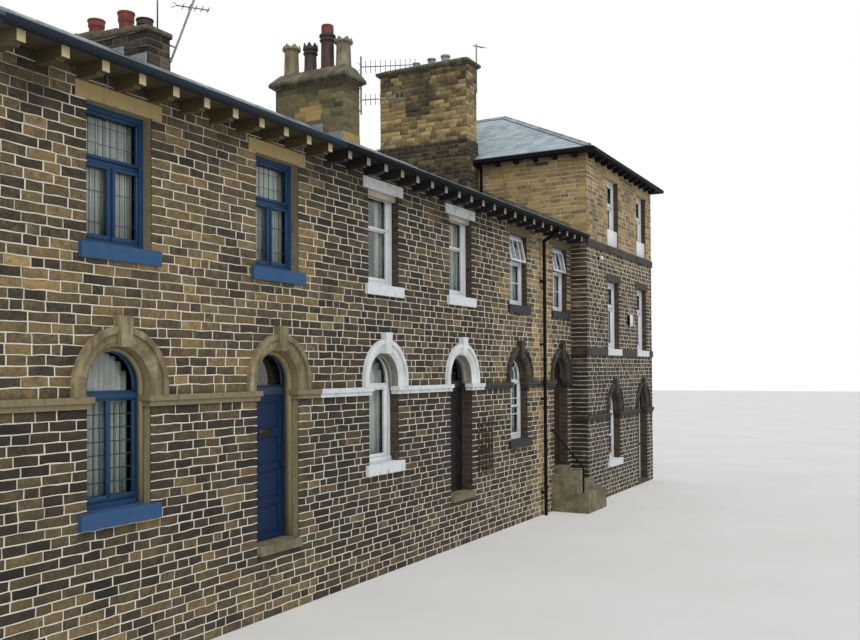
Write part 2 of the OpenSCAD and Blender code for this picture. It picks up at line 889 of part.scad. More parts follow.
module window_glass() {
    color("#8fa3ad", 0.5) placed() {
        for (x = bay_axes) {
            flat_pane(x, up_sill_z, up_h, up_reveal + frame_d, 1);
            flat_pane(x, up_sill_z, up_h, rear_frame_y, -1);
            flat_pane(x, low_sill_z, up_h, rear_frame_y, -1);
        }
        for (x = window_axes) arched_pane(x, low_sill_z, spring_z, low_reveal + frame_d);
        for (x = door_axes) fanlight_pane(x, spring_z, door_reveal + door_frame_d);
        for (x = pav_axes) {
            for (k = [0, 1]) {
                flat_pane(x, pav_sills[k], pav_up_hs[k], pav_frame_y + frame_d, 1);
                flat_pane(x, pav_sills[k], pav_up_hs[k], pav_rear_frame_y, -1);
            }
            flat_pane(x, pav_floor_z + low_sill_h, up_h, pav_rear_frame_y, -1);
        }
        arched_pane(pav_axes[0], pav_floor_z + low_sill_h, pav_spring_z, low_reveal + frame_d - pav_out);
        fanlight_pane(pav_axes[1], pav_spring_z, door_reveal + door_frame_d - pav_out);
    }
}

leaf_w = opening_w - 2 * door_frame_w - 2 * leaf_gap;
leaf_h = spring_h - transom_h / 2 - 2 * leaf_gap;
leaf_y = door_reveal + stop_t + leaf_gap;
leaf_back = leaf_y + leaf_t;
door_frame_d = leaf_back - door_reveal;

// One side of the hinges of a door on the axis x, whose back is at y and its foot at z
// side is 1 on the leaf, which has the middle knuckle, and -1 on the frame, which has the others
module hinges(x, y, z, side) {
    third = hinge_h / 3;
    knuckles = side > 0 ? [[third, third]] : [[0, third - seat], [2 * third + seat, third - seat]];
    for (k = [0.1, 0.47, 0.84])
        translate([x - leaf_w / 2 - leaf_gap / 2, y, z + leaf_h * k]) mirror([side > 0 ? 0 : 1, 0, 0]) {
            translate([hinge_r + seat, 0, 0]) cube([hinge_plate_w, hinge_plate_t, hinge_h]);
            for (n = knuckles) translate([0, 0, n[0]]) {
                translate([0, hinge_r + seat, 0]) cylinder(h = n[1], r = hinge_r);
                translate([0, seat, 0]) cube([hinge_r + seat + cut, hinge_plate_t - seat, n[1]]);
            }
        }
}

// Frame of a door, with a transom at the springing; its front is at y, its foot at z0
module door_frame(x, z0, z1, y) {
    upright(y, door_frame_d) difference() {
        arched(x, z0, z1, arch_r - seat);
        arched(x, z1 + transom_h / 2, z1 + transom_h / 2, arch_r - door_frame_w);
        flat(x, z0 - cut, z1 - z0 - transom_h / 2 + cut, opening_w - 2 * door_frame_w);
    }
    stop_w = door_frame_w + leaf_gap + stop_lap;
    upright(y, stop_t) difference() {
        flat(x, z0, z1 - z0 - transom_h / 2 + seat, opening_w - 2 * door_frame_w + 2 * seat);
        flat(x, z0 - cut, z1 - z0 - transom_h / 2 - leaf_gap - stop_lap + cut, opening_w - 2 * stop_w);
    }
    hinges(x, y + door_frame_d, z0, -1);
}

module door_frames() {
    color("#26384e") placed() for (x = door_axes) door_frame(x, row_floor_z, spring_z, door_reveal);
}

// A panelled leaf with a knob on the side away from its hinges
module leaf(x, z, y, tone) {
    rail = 100;
    panel_in = 10;
    panel_h = (leaf_h - 5 * rail) / 4;
    color(tone) placed() {
        difference() {
            translate([x - leaf_w / 2, y, z + leaf_gap]) cube([leaf_w, leaf_t, leaf_h]);
            for (k = [0:3])
                translate([x - leaf_w / 2 + rail, y - cut, z + leaf_gap + rail + k * (panel_h + rail)])
                    cube([leaf_w - 2 * rail, cut + panel_in, panel_h]);
        }
        translate([x + leaf_w / 2 - rail / 2, y, z + leaf_h / 2]) rotate([90, 0, 0]) {
            cylinder(h = knob_out, r = knob_neck_r);
            translate([0, 0, knob_out - knob_t]) cylinder(h = knob_t, r = knob_r);
        }
        hinges(x, y + leaf_t, z, 1);
    }
}

module door_a() {
    leaf(door_axes[0], row_floor_z, leaf_y, "#1d3a63");
}

module door_b() {
    leaf(door_axes[1], row_floor_z, leaf_y, "#17181a");
}

module door_c() {
    leaf(door_axes[2], row_floor_z, leaf_y, "#2a211c");
}

// Sill stones of the doors, and the flight to the last door
module steps() {
    color("#8d8468") placed() {
        for (x = door_axes)
            translate([x - arch_r, -doorstep_out, row_floor_z - doorstep_t])
                cube([opening_w, doorstep_out + wall_t, doorstep_t]);
        for (k = [1:3])
            translate([door_axes[2] - steps_w / 2, -doorstep_out - k * tread_d, 0])
                cube([steps_w, k == 1 ? tread_d + doorstep_out : tread_d, row_floor_z - doorstep_t - (k - 1) * riser]);
    }
}

// A tube rail beside the steps: from the wall down to a post on the lowest step
module handrail() {
    x = door_axes[2] - steps_w / 2 + rail_d;
    r = rail_d / 2;
    top = [0, row_floor_z + rail_h];
    foot_y = -doorstep_out - 2.5 * tread_d;
    foot_z = row_floor_z - doorstep_t - 2 * riser;
    foot_top = foot_z + rail_h * rail_foot;
    l = norm([foot_y - top[0], foot_top - top[1]]);
    a = atan2(top[1] - foot_top, top[0] - foot_y);
    color("#1c1d1f") placed() translate([x, 0, 0]) {
        difference() {
            translate([0, foot_y, foot_top]) rotate([a - 90, 0, 0]) cylinder(h = l + rail_d, r = r);
            translate([-rail_d, 0, 0]) cube([2 * rail_d, wall_t, row_head_z]);
        }
        translate([0, foot_y, foot_z]) cylinder(h = foot_top - foot_z, r = r);
        translate([0, foot_y, foot_top]) sphere(r);
    }
}

// Pavilion

pav_sills = [pav_sill1_z, pav_sill2_z];
pav_up_hs = [pav_up1_h, pav_up2_h];
pav_frame_y = up_reveal - pav_out;
pav_rear_y = row_depth + pav_out;
pav_rear_frame_y = pav_rear_y - up_reveal - frame_d;
pav_x_end = pav_x0 + pav_w;
pav_eave_out = pav_bracket_out + board_t;
pav_eave_z = pav_head_z + fascia_h + eave_edge;
pav_ridge_z = pav_head_z + pav_ridge_rise;

// Solid hip roof above a level z, its eaves a distance out of the walls, lowered by drop
module hip_solid(out, drop) {
    half = pav_w / 2 + pav_eave_out;
    rise = pav_ridge_z - pav_eave_z;
    z0 = pav_eave_z - drop;
    xm = pav_x0 + pav_w / 2;
    ym = row_depth / 2;
    y0 = -pav_out - pav_eave_out;
    l = pav_depth + 2 * pav_eave_out;
    intersection() {
        upright(y0, l) polygon([
            [xm - half, z0 - out], [xm - half, z0], [xm, z0 + rise], [xm + half, z0],
            [xm + half, z0 - out]
        ]);
        along(xm - half, 2 * half) polygon([
            [y0, z0 - out], [y0, z0], [y0 + pav_hip_run, z0 + rise],
            [y0 + l - pav_hip_run, z0 + rise], [y0 + l, z0], [y0 + l, z0 - out]
        ]);
    }
}

pav_roof_drop = roof_t * 1.15;

// Room for the large stack in the roof and eaves that run up to it
module large_stack_cut() {
    s = stacks()[3];
    g = stack3_offset + seat;
    translate([s[0] - g, s[4] - g, row_head_z])
        cube([s[1] + g + seat, s[2] + 2 * g, s[3] - row_head_z]);
}

module pavilion_roof() {
    color("#6a757d") placed() difference() {
        hip_solid(eave_edge, 0);
        hip_solid(pav_roof_drop, pav_roof_drop);
        large_stack_cut();
    }
}

// Cuts wall tops to the underside of the hip roof
module under_hip() {
    hip_solid(pav_eave_z, pav_roof_drop);
}

module pav_openings_front() {
    arched(pav_axes[0], pav_floor_z + low_sill_h, pav_spring_z, arch_r);
    arched(pav_axes[1], pav_floor_z, pav_spring_z, arch_r);
    for (x = pav_axes, k = [0, 1]) flat(x, pav_sills[k], pav_up_hs[k], up_w);
}

module pavilion_front_wall() {
    color("#6d5a3c") placed() intersection() {
        difference() {
            upright(-pav_out, wall_t) difference() {
                translate([pav_x0, 0]) square([pav_w, pav_ridge_z]);
                pav_openings_front();
            }
            for (x = pav_axes, k = [0, 1]) head_and_sill_cut(x, pav_sills[k], pav_up_hs[k], -pav_out, -1);
            sill(pav_axes[0], pav_floor_z + low_sill_h, -pav_out, -1, sill_out + cut);
        }
        under_hip();
    }
}

module pavilion_rear_wall() {
    color("#6d5a3c") placed() intersection() {
        difference() {
            upright(pav_rear_y - wall_t, wall_t) difference() {
                translate([pav_x0, 0]) square([pav_w, pav_ridge_z]);
                for (x = pav_axes) {
                    for (k = [0, 1]) flat(x, pav_sills[k], pav_up_hs[k], up_w);
                    flat(x, pav_floor_z + low_sill_h, up_h, up_w);
                }
            }
            for (x = pav_axes) {
                for (k = [0, 1]) head_and_sill_cut(x, pav_sills[k], pav_up_hs[k], pav_rear_y, 1);
                head_and_sill_cut(x, pav_floor_z + low_sill_h, up_h, pav_rear_y, 1);
            }
        }
        under_hip();
    }
}

module pavilion_side_walls() {
    color("#6d5a3c") placed() intersection() {
        for (x = [pav_x0, pav_x_end - wall_t])
            translate([x, wall_t - pav_out, 0])
                cube([wall_t, pav_depth - 2 * wall_t, pav_ridge_z]);
        under_hip();
    }
}

module pavilion_floors() {
    color("#8b7a5e") placed()
        for (z = [pav_floor_z, pav_floor1_z, pav_floor2_z])
            translate([pav_x0 + wall_t, wall_t - pav_out, max(z - floor_t, 0)])
                cube([pav_w - 2 * wall_t, pav_depth - 2 * wall_t, min(z, floor_t)]);
}

// Brackets on the four sides of the pavilion
module pavilion_brackets() {
    nose_h = pav_bracket_h - pav_bracket_curve;
    for (x = bracket_axes(pav_x0, pav_x_end), far = [0, 1])
        translate([x, far * row_depth, 0]) mirror([0, far, 0])
            bracket(0, -pav_out, pav_head_z, pav_bracket_out, nose_h, pav_bracket_h);
    for (y = bracket_axes(-pav_out, row_depth + pav_out), right = [0, 1])
        translate([right * pav_w + pav_x0, y, 0]) rotate([0, 0, right * 180 - 90])
            bracket(0, 0, pav_head_z, pav_bracket_out, nose_h, pav_bracket_h);
}

// Soffit, fascia and brackets of the pavilion, stopped at the large stack
module pavilion_eaves() {
    x0 = pav_x0 - pav_bracket_out;
    y0 = -pav_out - pav_bracket_out;
    w = pav_w + 2 * pav_bracket_out;
    l = pav_depth + 2 * pav_bracket_out;
    color("#2c2a27") placed() difference() {
        union() {
            translate([0, 0, pav_head_z]) linear_extrude(board_t) difference() {
                translate([x0, y0]) square([w, l]);
                translate([pav_x0, -pav_out]) square([pav_w, pav_depth]);
            }
            translate([0, 0, pav_head_z]) linear_extrude(fascia_h) difference() {
                translate([x0 - board_t, y0 - board_t]) square([w + 2 * board_t, l + 2 * board_t]);
                translate([x0, y0]) square([w, l]);
            }
            pavilion_brackets();
        }
        large_stack_cut();
    }
}

pav_gutter_z = pav_head_z + fascia_h - gutter_below - gutter_rim;

// The gutter runs round all four sides with mitred corners
module pavilion_gutter() {
    x0 = pav_x0 - pav_eave_out;
    x1 = pav_x_end + pav_eave_out;
    y0 = -pav_out - pav_eave_out;
    y1 = row_depth + pav_out + pav_eave_out;
    r = gutter_w / 2;
    color("#202224") placed() difference() {
        translate([0, 0, pav_gutter_z - r]) linear_extrude(gutter_rim + r) difference() {
            translate([x0 - gutter_w, y0 - gutter_w]) square([x1 - x0 + 2 * gutter_w, y1 - y0 + 2 * gutter_w]);
            translate([x0, y0]) square([x1 - x0, y1 - y0]);
        }
        translate([0, 0, pav_gutter_z - r + gutter_t]) linear_extrude(gutter_rim + r) difference() {
            translate([x0 - gutter_w + gutter_t, y0 - gutter_w + gutter_t])
                square([x1 - x0 + 2 * (gutter_w - gutter_t), y1 - y0 + 2 * (gutter_w - gutter_t)]);
            translate([x0 - gutter_t, y0 - gutter_t])
                square([x1 - x0 + 2 * gutter_t, y1 - y0 + 2 * gutter_t]);
        }
        large_stack_cut();
    }
}

// A plain course in front of the pavilion and back along its left flank to the row
module flank_course(z, h, out) {
    translate([pav_x0 - out, -pav_out - out, z - h]) cube([out, pav_out + out, h]);
}

// Sill bands of the upper floors and the impost band, with the sills and lintels between
module pavilion_string_courses() {
    color("#3b3730") placed() {
        for (z = pav_sills)
            translate([pav_x0, -pav_out - pav_band_out, z - pav_band_h]) difference() {
                cube([pav_w, pav_band_out, pav_band_h]);
                for (x = pav_axes)
                    translate([x - pav_x0 - up_w / 2 - sill_end, -cut, -cut])
                        cube([up_w + 2 * sill_end, pav_band_out + 2 * cut, pav_band_h + 2 * cut]);
            }
        flank_course(pav_sill1_z, pav_band_h, pav_band_out);
        for (c = courses) flank_course(pav_spring_z - c[0] + c[1], c[1], c[2]);
        for (s = stretches(pav_x0, pav_x_end, pav_axes)) band(s[0], s[1], -pav_out, pav_spring_z);
        for (x = pav_axes) {
            band_returns(x, -pav_out, pav_spring_z);
            for (k = [0, 1]) {
                sill(x, pav_sills[k], -pav_out, -1, sill_out);
                sill(x, pav_sills[k], pav_rear_y, 1, sill_out);
                lintel(x, pav_sills[k] + pav_up_hs[k], -pav_out, -1, lintel_out);
                lintel(x, pav_sills[k] + pav_up_hs[k], pav_rear_y, 1, lintel_out);
            }
            sill(x, pav_floor_z + low_sill_h, pav_rear_y, 1, sill_out);
            lintel(x, pav_floor_z + low_sill_h + up_h, pav_rear_y, 1, lintel_out);
        }
        sill(pav_axes[0], pav_floor_z + low_sill_h, -pav_out, -1, sill_out);
    }
}

module pavilion_arch_stones() {
    color("#5a5142") placed() for (x = pav_axes) arch_stones(x, -pav_out, pav_spring_z);
}

module pavilion_window_frames() {
    color("#e8eae8") placed() {
        for (x = pav_axes) {
            for (k = [0, 1]) {
                flat_frame(x, pav_sills[k], pav_up_hs[k], pav_frame_y);
                flat_frame(x, pav_sills[k], pav_up_hs[k], pav_rear_frame_y);
            }
            flat_frame(x, pav_floor_z + low_sill_h, up_h, pav_rear_frame_y);
        }
        arched_frame(pav_axes[0], pav_floor_z + low_sill_h, pav_spring_z, low_reveal - pav_out);
        door_frame(pav_axes[1], pav_floor_z, pav_spring_z, door_reveal - pav_out);
    }
}

module pavilion_door() {
    leaf(pav_axes[1], pav_floor_z, leaf_y - pav_out, "#24262a");
}

// Round bar between two points
module bar(p, q, r) {
    d = q - p;
    l = norm(d);
    translate(p) rotate([0, acos(d[2] / l), atan2(d[1], d[0])]) cylinder(h = l, r = r);
}

// The rainwater pipe of the row, with its bend out to the gutter and its wall clips
module downpipes() {
    x = (window_axes[2] + door_axes[2]) / 2;
    y = -band_top_out - collar - pipe_r;
    bend_z = row_head_z - bracket_wall_h - bend_drop;
    out_y = -eave_out - gutter_w / 2;
    gutter_foot = gutter_z - gutter_w / 2;
    color("#1e1f21") placed() {
        bar([x, y, 0], [x, y, bend_z], pipe_r);
        translate([x, y, bend_z]) sphere(pipe_r + collar);
        bar([x, y, bend_z], [x, out_y, gutter_foot - bend_rise], pipe_r);
        translate([x, out_y, gutter_foot - bend_rise]) sphere(pipe_r + collar);
        bar([x, out_y, gutter_foot - bend_rise], [x, out_y, gutter_foot - seat], pipe_r);
        for (z = [0.08, 0.42, 0.62, 0.85] * bend_z) translate([x - clip_w / 2, y, z]) cube([clip_w, -y, clip_h]);
    }
}

// A pole beside a stack, clear of its cap, on two arms; its foot is a drop below the stack's top
module aerial_pole(s, c, drop, h, lean) {
    x = s[0] + s[1];
    y = s[4] + pole_in;
    px = x + c[0] + pole_off;
    z = s[3] - drop;
    bar([px, y, z], [px + lean * h, y, z + h], pole_r);
    for (a = [pole_end, drop - pole_end]) bar([x, y, z + a], [px + lean * a, y, z + a], pole_r * 0.7);
}

// Aerial poles on the stacks
module aerials() {
    color("#8a8d90") placed() {
        s = stacks();
        aerial_pole(s[1], caps[1], pole_drop_low, pole_h, pole_lean);
        aerial_pole(s[2], caps[2], pole_drop, pole_up_h, 0);
        aerial_pole(s[3], caps[3], pole_drop, pole_up_h, 0);
    }
}

row_plinth();
row_front_wall_lower();
row_front_wall_upper();
row_rear_wall();
end_wall();
party_walls();
ground_floors();
upper_floors();
roof_slope_front();
roof_slope_rear();
eaves_boards();
eaves_brackets_a();
eaves_brackets_bc();
gutter_a();
gutter_bc();
string_course();
arch_stones_a();
arch_stones_b();
arch_stones_c();
lintels();
sills();
window_frames_a();
window_frames_bc();
window_glass();
door_a();
door_b();
door_c();
door_frames();
steps();
handrail();
chimney_stack_end();
chimney_stack_ab();
chimney_stack_bc();
chimney_stack_cd();
chimney_pots();
pavilion_front_wall();
pavilion_side_walls();
pavilion_rear_wall();
pavilion_floors();
pavilion_roof();
pavilion_eaves();
pavilion_gutter();
pavilion_string_courses();
pavilion_arch_stones();
pavilion_window_frames();
pavilion_door();
downpipes();
aerials();
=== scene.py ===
"""Looks of the terraced house row: coursed stone, raised pointing, slates, joinery, pots and finishes.

Lengths are metres in the row's own directions: x along the front from the row's left end, y back from the
face of the front wall, z up. Each piece is moved into the frame as it is made.
"""

import math

import bpy
import numpy as np
from mathutils import Matrix, Vector


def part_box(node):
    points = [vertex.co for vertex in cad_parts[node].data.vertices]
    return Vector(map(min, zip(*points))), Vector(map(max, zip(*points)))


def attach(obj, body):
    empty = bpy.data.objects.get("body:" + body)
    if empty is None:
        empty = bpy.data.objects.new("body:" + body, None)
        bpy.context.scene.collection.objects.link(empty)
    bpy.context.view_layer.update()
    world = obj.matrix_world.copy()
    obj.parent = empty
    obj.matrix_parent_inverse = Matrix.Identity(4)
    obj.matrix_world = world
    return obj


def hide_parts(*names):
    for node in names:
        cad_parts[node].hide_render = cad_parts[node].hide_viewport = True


bl_info = {
    "name": "Terraced house row",
    "version": (1, 0, 0),
    "blender": (4, 5, 0),
    "location": "View3D > Sidebar > House row",
    "description": "Stone facings, slates, joinery and finishes of a row of stone houses",
    "category": "Object",
}

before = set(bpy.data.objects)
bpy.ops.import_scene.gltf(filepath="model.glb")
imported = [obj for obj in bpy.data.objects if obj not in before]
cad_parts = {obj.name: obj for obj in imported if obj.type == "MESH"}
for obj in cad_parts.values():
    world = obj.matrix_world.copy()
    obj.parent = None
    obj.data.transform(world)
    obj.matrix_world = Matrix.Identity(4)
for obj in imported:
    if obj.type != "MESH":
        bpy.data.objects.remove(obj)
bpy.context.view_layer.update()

# The row's left end on the face of its front wall, in the frame
OFFSET = np.array(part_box("row_plinth")[0])
ROW_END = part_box("row_plinth")[1][0] - OFFSET[0]
LINE_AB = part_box("gutter_a")[1][0] - OFFSET[0]
LINE_BC = 2 * LINE_AB

# Front wall
WINDOWS = (1.76, 7.16, 12.56)
DOORS = (4.47, 9.87, 15.0)
SPRING = 2.95
# Straight feet that raise each arch over its band
STILT = 0.095
BAND_FOOT = 2.825
ARCH_R = 0.44
RING_R = 0.57
LOW_SILL = 1.75
UP_SILL = 4.55
UP_HEAD = 6.03
HEAD = 6.34
DOOR_FOOT = 0.83
FLOOR = 0.95
DEPTH = 7.75
RIDGE_Y = 3.875
RIDGE = 8.35
EAVE = 6.43
EAVE_OUT = 0.40
ROOF_SLOPE = (RIDGE - EAVE) / (RIDGE_Y + EAVE_OUT)
# Faces of the window frames, of the arched windows, of the doors and of the blinds, back from the wall's face
FRAME_Y = 0.12
ARCHED_Y = 0.16
DOOR_Y = 0.20
BLIND_Y = 0.26
# Half the width of a sash, and the radius of a sash's arched head
SASH_HALF = 0.39
SASH_R = 0.38
# Meeting rail of the second and last houses' upper windows
MEETING = 5.46
# Pavilion
PAV0, PAV1 = 15.73, 21.45
PAV_FRONT, PAV_REAR = -0.40, 8.15
PAV_AXES = (17.81, 20.41)
PAV_SPRING = 2.10
PAV_SILLS = (0.90, 3.72, 6.33)
PAV_HEADS = (2.38, 5.44, 8.07)
PAV_HEAD = 8.39
PAV_EAVE = 8.48
PAV_EAVE_OUT = 0.22
PAV_RIDGE = 10.35
PAV_HIP = 3.55
# Stacks as left edge, width, length, top and front face
STACKS = (
    (0.0, 0.48, 1.80, 8.54, 3.075), (5.16, 0.48, 1.80, 8.54, 3.075), (10.49, 0.62, 1.74, 9.29, 3.005),
    (15.15, 0.58, 2.50, 10.88, 2.475),
)
# How far the foot of the last stack stands out below its tall part
STACK_FOOT_OUT = 0.04
# Their caps as overhang, thickness and height of the mortar bed
CAPS = ((0.025, 0.09, 0.08), (0.025, 0.09, 0.08), (0.11, 0.07, 0.23), (0.09, 0.06, 0.10))
# Their pots from the rear to the front, as shares of the length back from the front face
POTS = ((0.78, 0.40, 0.17), (0.78, 0.40, 0.17), (0.89, 0.60, 0.345, 0.11), (0.63, 0.45, 0.29))

# Every finish by its name
FINISHES = {}


class RowSizes(bpy.types.PropertyGroup):
    """Sizes of the masonry, the slates and their joints."""

    course: bpy.props.FloatProperty(
        name="Course", description="Height of a course of stone", default=0.105, unit="LENGTH"
    )
    block: bpy.props.FloatProperty(
        name="Block", description="Usual length of a stone", default=0.29, unit="LENGTH"
    )
    joint: bpy.props.FloatProperty(
        name="Joint", description="Width of the raised pointing", default=0.010, unit="LENGTH"
    )
    proud: bpy.props.FloatProperty(
        name="Joint height", description="How far the pointing stands out of the wall", default=0.009,
        unit="LENGTH"
    )
    relief: bpy.props.FloatProperty(
        name="Relief", description="How far the stones' faces swell", default=0.007, unit="LENGTH"
    )
    gauge: bpy.props.FloatProperty(
        name="Slate gauge", description="Height that each course of slates shows", default=0.20, unit="LENGTH"
    )
    slate_w: bpy.props.FloatProperty(
        name="Slate width", description="Usual width of a slate", default=0.28, unit="LENGTH"
    )
    slate_t: bpy.props.FloatProperty(
        name="Slate edge", description="Height of a slate's tail", default=0.009, unit="LENGTH"
    )
    stile: bpy.props.FloatProperty(
        name="Stile", description="Width of a sash's stiles", default=0.036, unit="LENGTH"
    )
    bar: bpy.props.FloatProperty(
        name="Glazing bar", description="Width of a glazing bar", default=0.024, unit="LENGTH"
    )


def linear(code):
    """A colour written as an sRGB hex code, as linear red, green, blue and alpha."""
    c = np.array([int(code[i : i + 2], 16) for i in (1, 3, 5)]) / 255
    c = np.where(c <= 0.04045, c / 12.92, ((c + 0.055) / 1.055) ** 2.4)
    return (*c.tolist(), 1.0)


def swatch(name, about, code):
    """A colour property whose default is an sRGB hex code."""
    return bpy.props.FloatVectorProperty(
        name=name, description=about, default=linear(code), subtype="COLOR", size=4, min=0, max=1
    )


class RowColours(bpy.types.PropertyGroup):
    """Colours of the paints."""

    blue: swatch("Blue joinery", "Paint of the first house's windows", "#1b3c5c")
    door_blue: swatch("Blue door", "Paint of the first house's door", "#0d2444")
    white: swatch("White paint", "Paint of the white windows and stone dressings", "#d3d6d8")
    black: swatch("Black paint", "Paint of gutters, pipes and eaves", "#111315")
    gutter_blue: swatch("Blue gutter", "Paint of the first house's gutter", "#142029")
    brown: swatch("Brown door", "Paint of the last house's door", "#35251c")


# Shapes


class Heap:
    """Vertices and faces of many small shapes, with a tone and a soot value at each vertex; on stones the
    soot value also holds the painted shade at their rims.
    """

    def __init__(self):
        self.points, self.faces, self.tones, self.soots, self.count = [], [], [], [], 0

    def add(self, points, faces, tone=0.5, soot=0.3):
        """Adds points and their faces; tone and soot are one value or one for each point."""
        points = np.asarray(points, float).reshape(-1, 3)
        n = len(points)
        for f in faces if isinstance(faces, list) else [faces]:
            self.faces.append(np.asarray(f, np.int64).reshape(-1, np.shape(f)[-1]) + self.count)
        self.points.append(points)
        self.tones.append(np.broadcast_to(np.asarray(tone, float), (n,)).ravel())
        self.soots.append(np.broadcast_to(np.asarray(soot, float), (n,)).ravel())
        self.count += n

    def take(self, other):
        """Adds the shapes of another heap."""
        self.points += other.points
        self.faces += [f + self.count for f in other.faces]
        self.tones += other.tones
        self.soots += other.soots
        self.count += other.count


def piece(name, heap, finish, body="house", smooth=None):
    """Makes one object of a heap, in the frame, with its finish and the body it rides on."""
    mesh = bpy.data.meshes.new(name)
    points = np.concatenate(heap.points) + OFFSET
    corners = np.concatenate([f.ravel() for f in heap.faces])
    sizes = np.concatenate([np.full(len(f), f.shape[1]) for f in heap.faces])
    mesh.vertices.add(len(points))
    mesh.vertices.foreach_set("co", points.ravel().astype(np.float32))
    mesh.loops.add(len(corners))
    mesh.loops.foreach_set("vertex_index", corners.astype(np.int32))
    mesh.polygons.add(len(sizes))
    mesh.polygons.foreach_set("loop_start", (np.cumsum(sizes) - sizes).astype(np.int32))
    mesh.update(calc_edges=True)
    # The soot attribute holds soot and, on stones, the painted shade at their rims
    for label, values in (("tone", heap.tones), ("soot", heap.soots)):
        layer = mesh.attributes.new(label, "FLOAT", "POINT")
        layer.data.foreach_set("value", np.concatenate(values).astype(np.float32))
    if smooth is not None:
        mesh.shade_smooth()
        mesh.set_sharp_from_angle(angle=math.radians(smooth))
    obj = bpy.data.objects.new(name, mesh)
    bpy.context.scene.collection.objects.link(obj)
    mesh.materials.append(FINISHES[finish])
    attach(obj, body)
    return obj


def grid_faces(count, rows, cols):
    """Quads of count grids of rows by cols vertices, numbered row by row, one grid after another."""
    i = np.arange(count * rows * cols).reshape(count, rows, cols)
    return np.stack([i[:, :-1, :-1], i[:, :-1, 1:], i[:, 1:, 1:], i[:, 1:, :-1]], -1).reshape(-1, 4)


def box_pattern():
    """A box with chamfered edges: three vertices to a corner, each drawn in along the two axes that it
    doesn't face."""
    place = np.repeat(np.array([(x, y, z) for x in (-1, 1) for y in (-1, 1) for z in (-1, 1)], float), 3, 0)
    pull = place * (1 - np.tile(np.eye(3), (8, 1)))
    ids = np.arange(24).reshape(2, 2, 2, 3)
    quads = [np.moveaxis(ids[..., a], a, 0)[s].ravel()[[0, 1, 3, 2]] for a in range(3) for s in range(2)]
    for a, b in ((0, 1), (0, 2), (1, 2)):
        turned = np.moveaxis(ids, (a, b), (0, 1))
        quads += [[t[0, a], t[1, a], t[1, b], t[0, b]] for t in turned.reshape(4, 2, 3)]
    at = place - 0.2 * pull

    def outward(face):
        p = at[list(face)]
        return list(face) if np.dot(np.cross(p[1] - p[0], p[2] - p[0]), p.mean(0)) > 0 else list(face)[::-1]

    tris = [outward(t) for t in ids.reshape(8, 3)]
    return place, pull, np.array([outward(q) for q in quads]), np.array(tris)


BOX = box_pattern()


def boxes(heap, lows, highs, chamfer=0.004):
    """Adds boxes between the corners lows and highs, with chamfered edges."""
    lo, hi = np.atleast_2d(np.asarray(lows, float)), np.atleast_2d(np.asarray(highs, float))
    place, pull, quads, tris = BOX
    cut = np.minimum(chamfer, (hi - lo).min(1) * 0.3)
    v = ((lo + hi) / 2)[:, None] + place * ((hi - lo) / 2)[:, None] - pull * cut[:, None, None]
    shift = (np.arange(len(lo)) * 24)[:, None, None]
    heap.add(v, [(quads + shift).reshape(-1, 4), (tris + shift).reshape(-1, 3)])


def bars(heap, rects, y0, y1, chamfer=0.005):
    """Adds flat bars seen from the front, each as left, right, foot and top, between the depths y0 and y1."""
    r = np.asarray(rects, float)
    boxes(
        heap, np.stack([r[:, 0], np.full(len(r), y0), r[:, 2]], 1),
        np.stack([r[:, 1], np.full(len(r), y1), r[:, 3]], 1), chamfer
    )


def ring(heap, x0, x1, z0, z1, w, y0, y1, foot=None):
    """Adds the four members of a sash between the given edges; foot is the height of its bottom rail."""
    b = foot or w
    bars(
        heap,
        [
            (x0, x1, z1 - w, z1), (x0, x1, z0, z0 + b), (x0, x0 + w, z0 + b, z1 - w),
            (x1 - w, x1, z0 + b, z1 - w)
        ],
        y0, y1
    )


def sweep(heap, path, section, across=(0, 1, 0), tone=0.5):
    """Adds a closed section of (side, across) offsets, listed anticlockwise, carried along a path.

    At each point side is across times the path's direction, so a section keeps its turn about across.
    """
    p, a, s = np.asarray(path, float), np.asarray(across, float), np.asarray(section, float)
    side = np.cross(a, np.gradient(p, axis=0))
    side /= np.linalg.norm(side, axis=1, keepdims=True)
    v = p[:, None] + s[None, :, :1] * side[:, None] + s[None, :, 1:] * a
    i = np.arange(v.shape[0] * v.shape[1]).reshape(v.shape[:2])
    j = np.roll(i, -1, 1)
    heap.add(v, [np.stack([i[:-1], j[:-1], j[1:], i[1:]], -1).reshape(-1, 4), i[:1, ::-1], i[-1:]], tone)


def arc(x, z, y, r, a0=0.0, a1=180.0, n=25):
    """Points of an arc in an upright plane at y, from angle a0 to a1 in degrees."""
    a = np.radians(np.linspace(a0, a1, n))
    return np.stack([x + r * np.cos(a), np.full(n, y), z + r * np.sin(a)], 1)


def stilted(x, z, y, r, foot=None, n=25):
    """Points of a stilted arch that springs at z: a half circle raised by the stilt, with straight feet down
    to foot."""
    low = z if foot is None else foot
    return np.concatenate([[(x + r, y, low)], arc(x, z + STILT, y, r, 0, 180, n), [(x - r, y, low)]])


def rod(heap, p, q, r, turns=10, tone=0.5):
    """Adds a round rod from p to q."""
    p, q = np.asarray(p, float), np.asarray(q, float)
    a = np.linspace(0, 2 * np.pi, turns, endpoint=False)
    d = (q - p) / np.linalg.norm(q - p)
    axis = np.eye(3)[np.argmin(np.abs(d))]
    axis = axis - d * (axis @ d)
    axis /= np.linalg.norm(axis)
    sweep(heap, [p, q], np.stack([r * np.cos(a), r * np.sin(a)], 1), axis, tone)


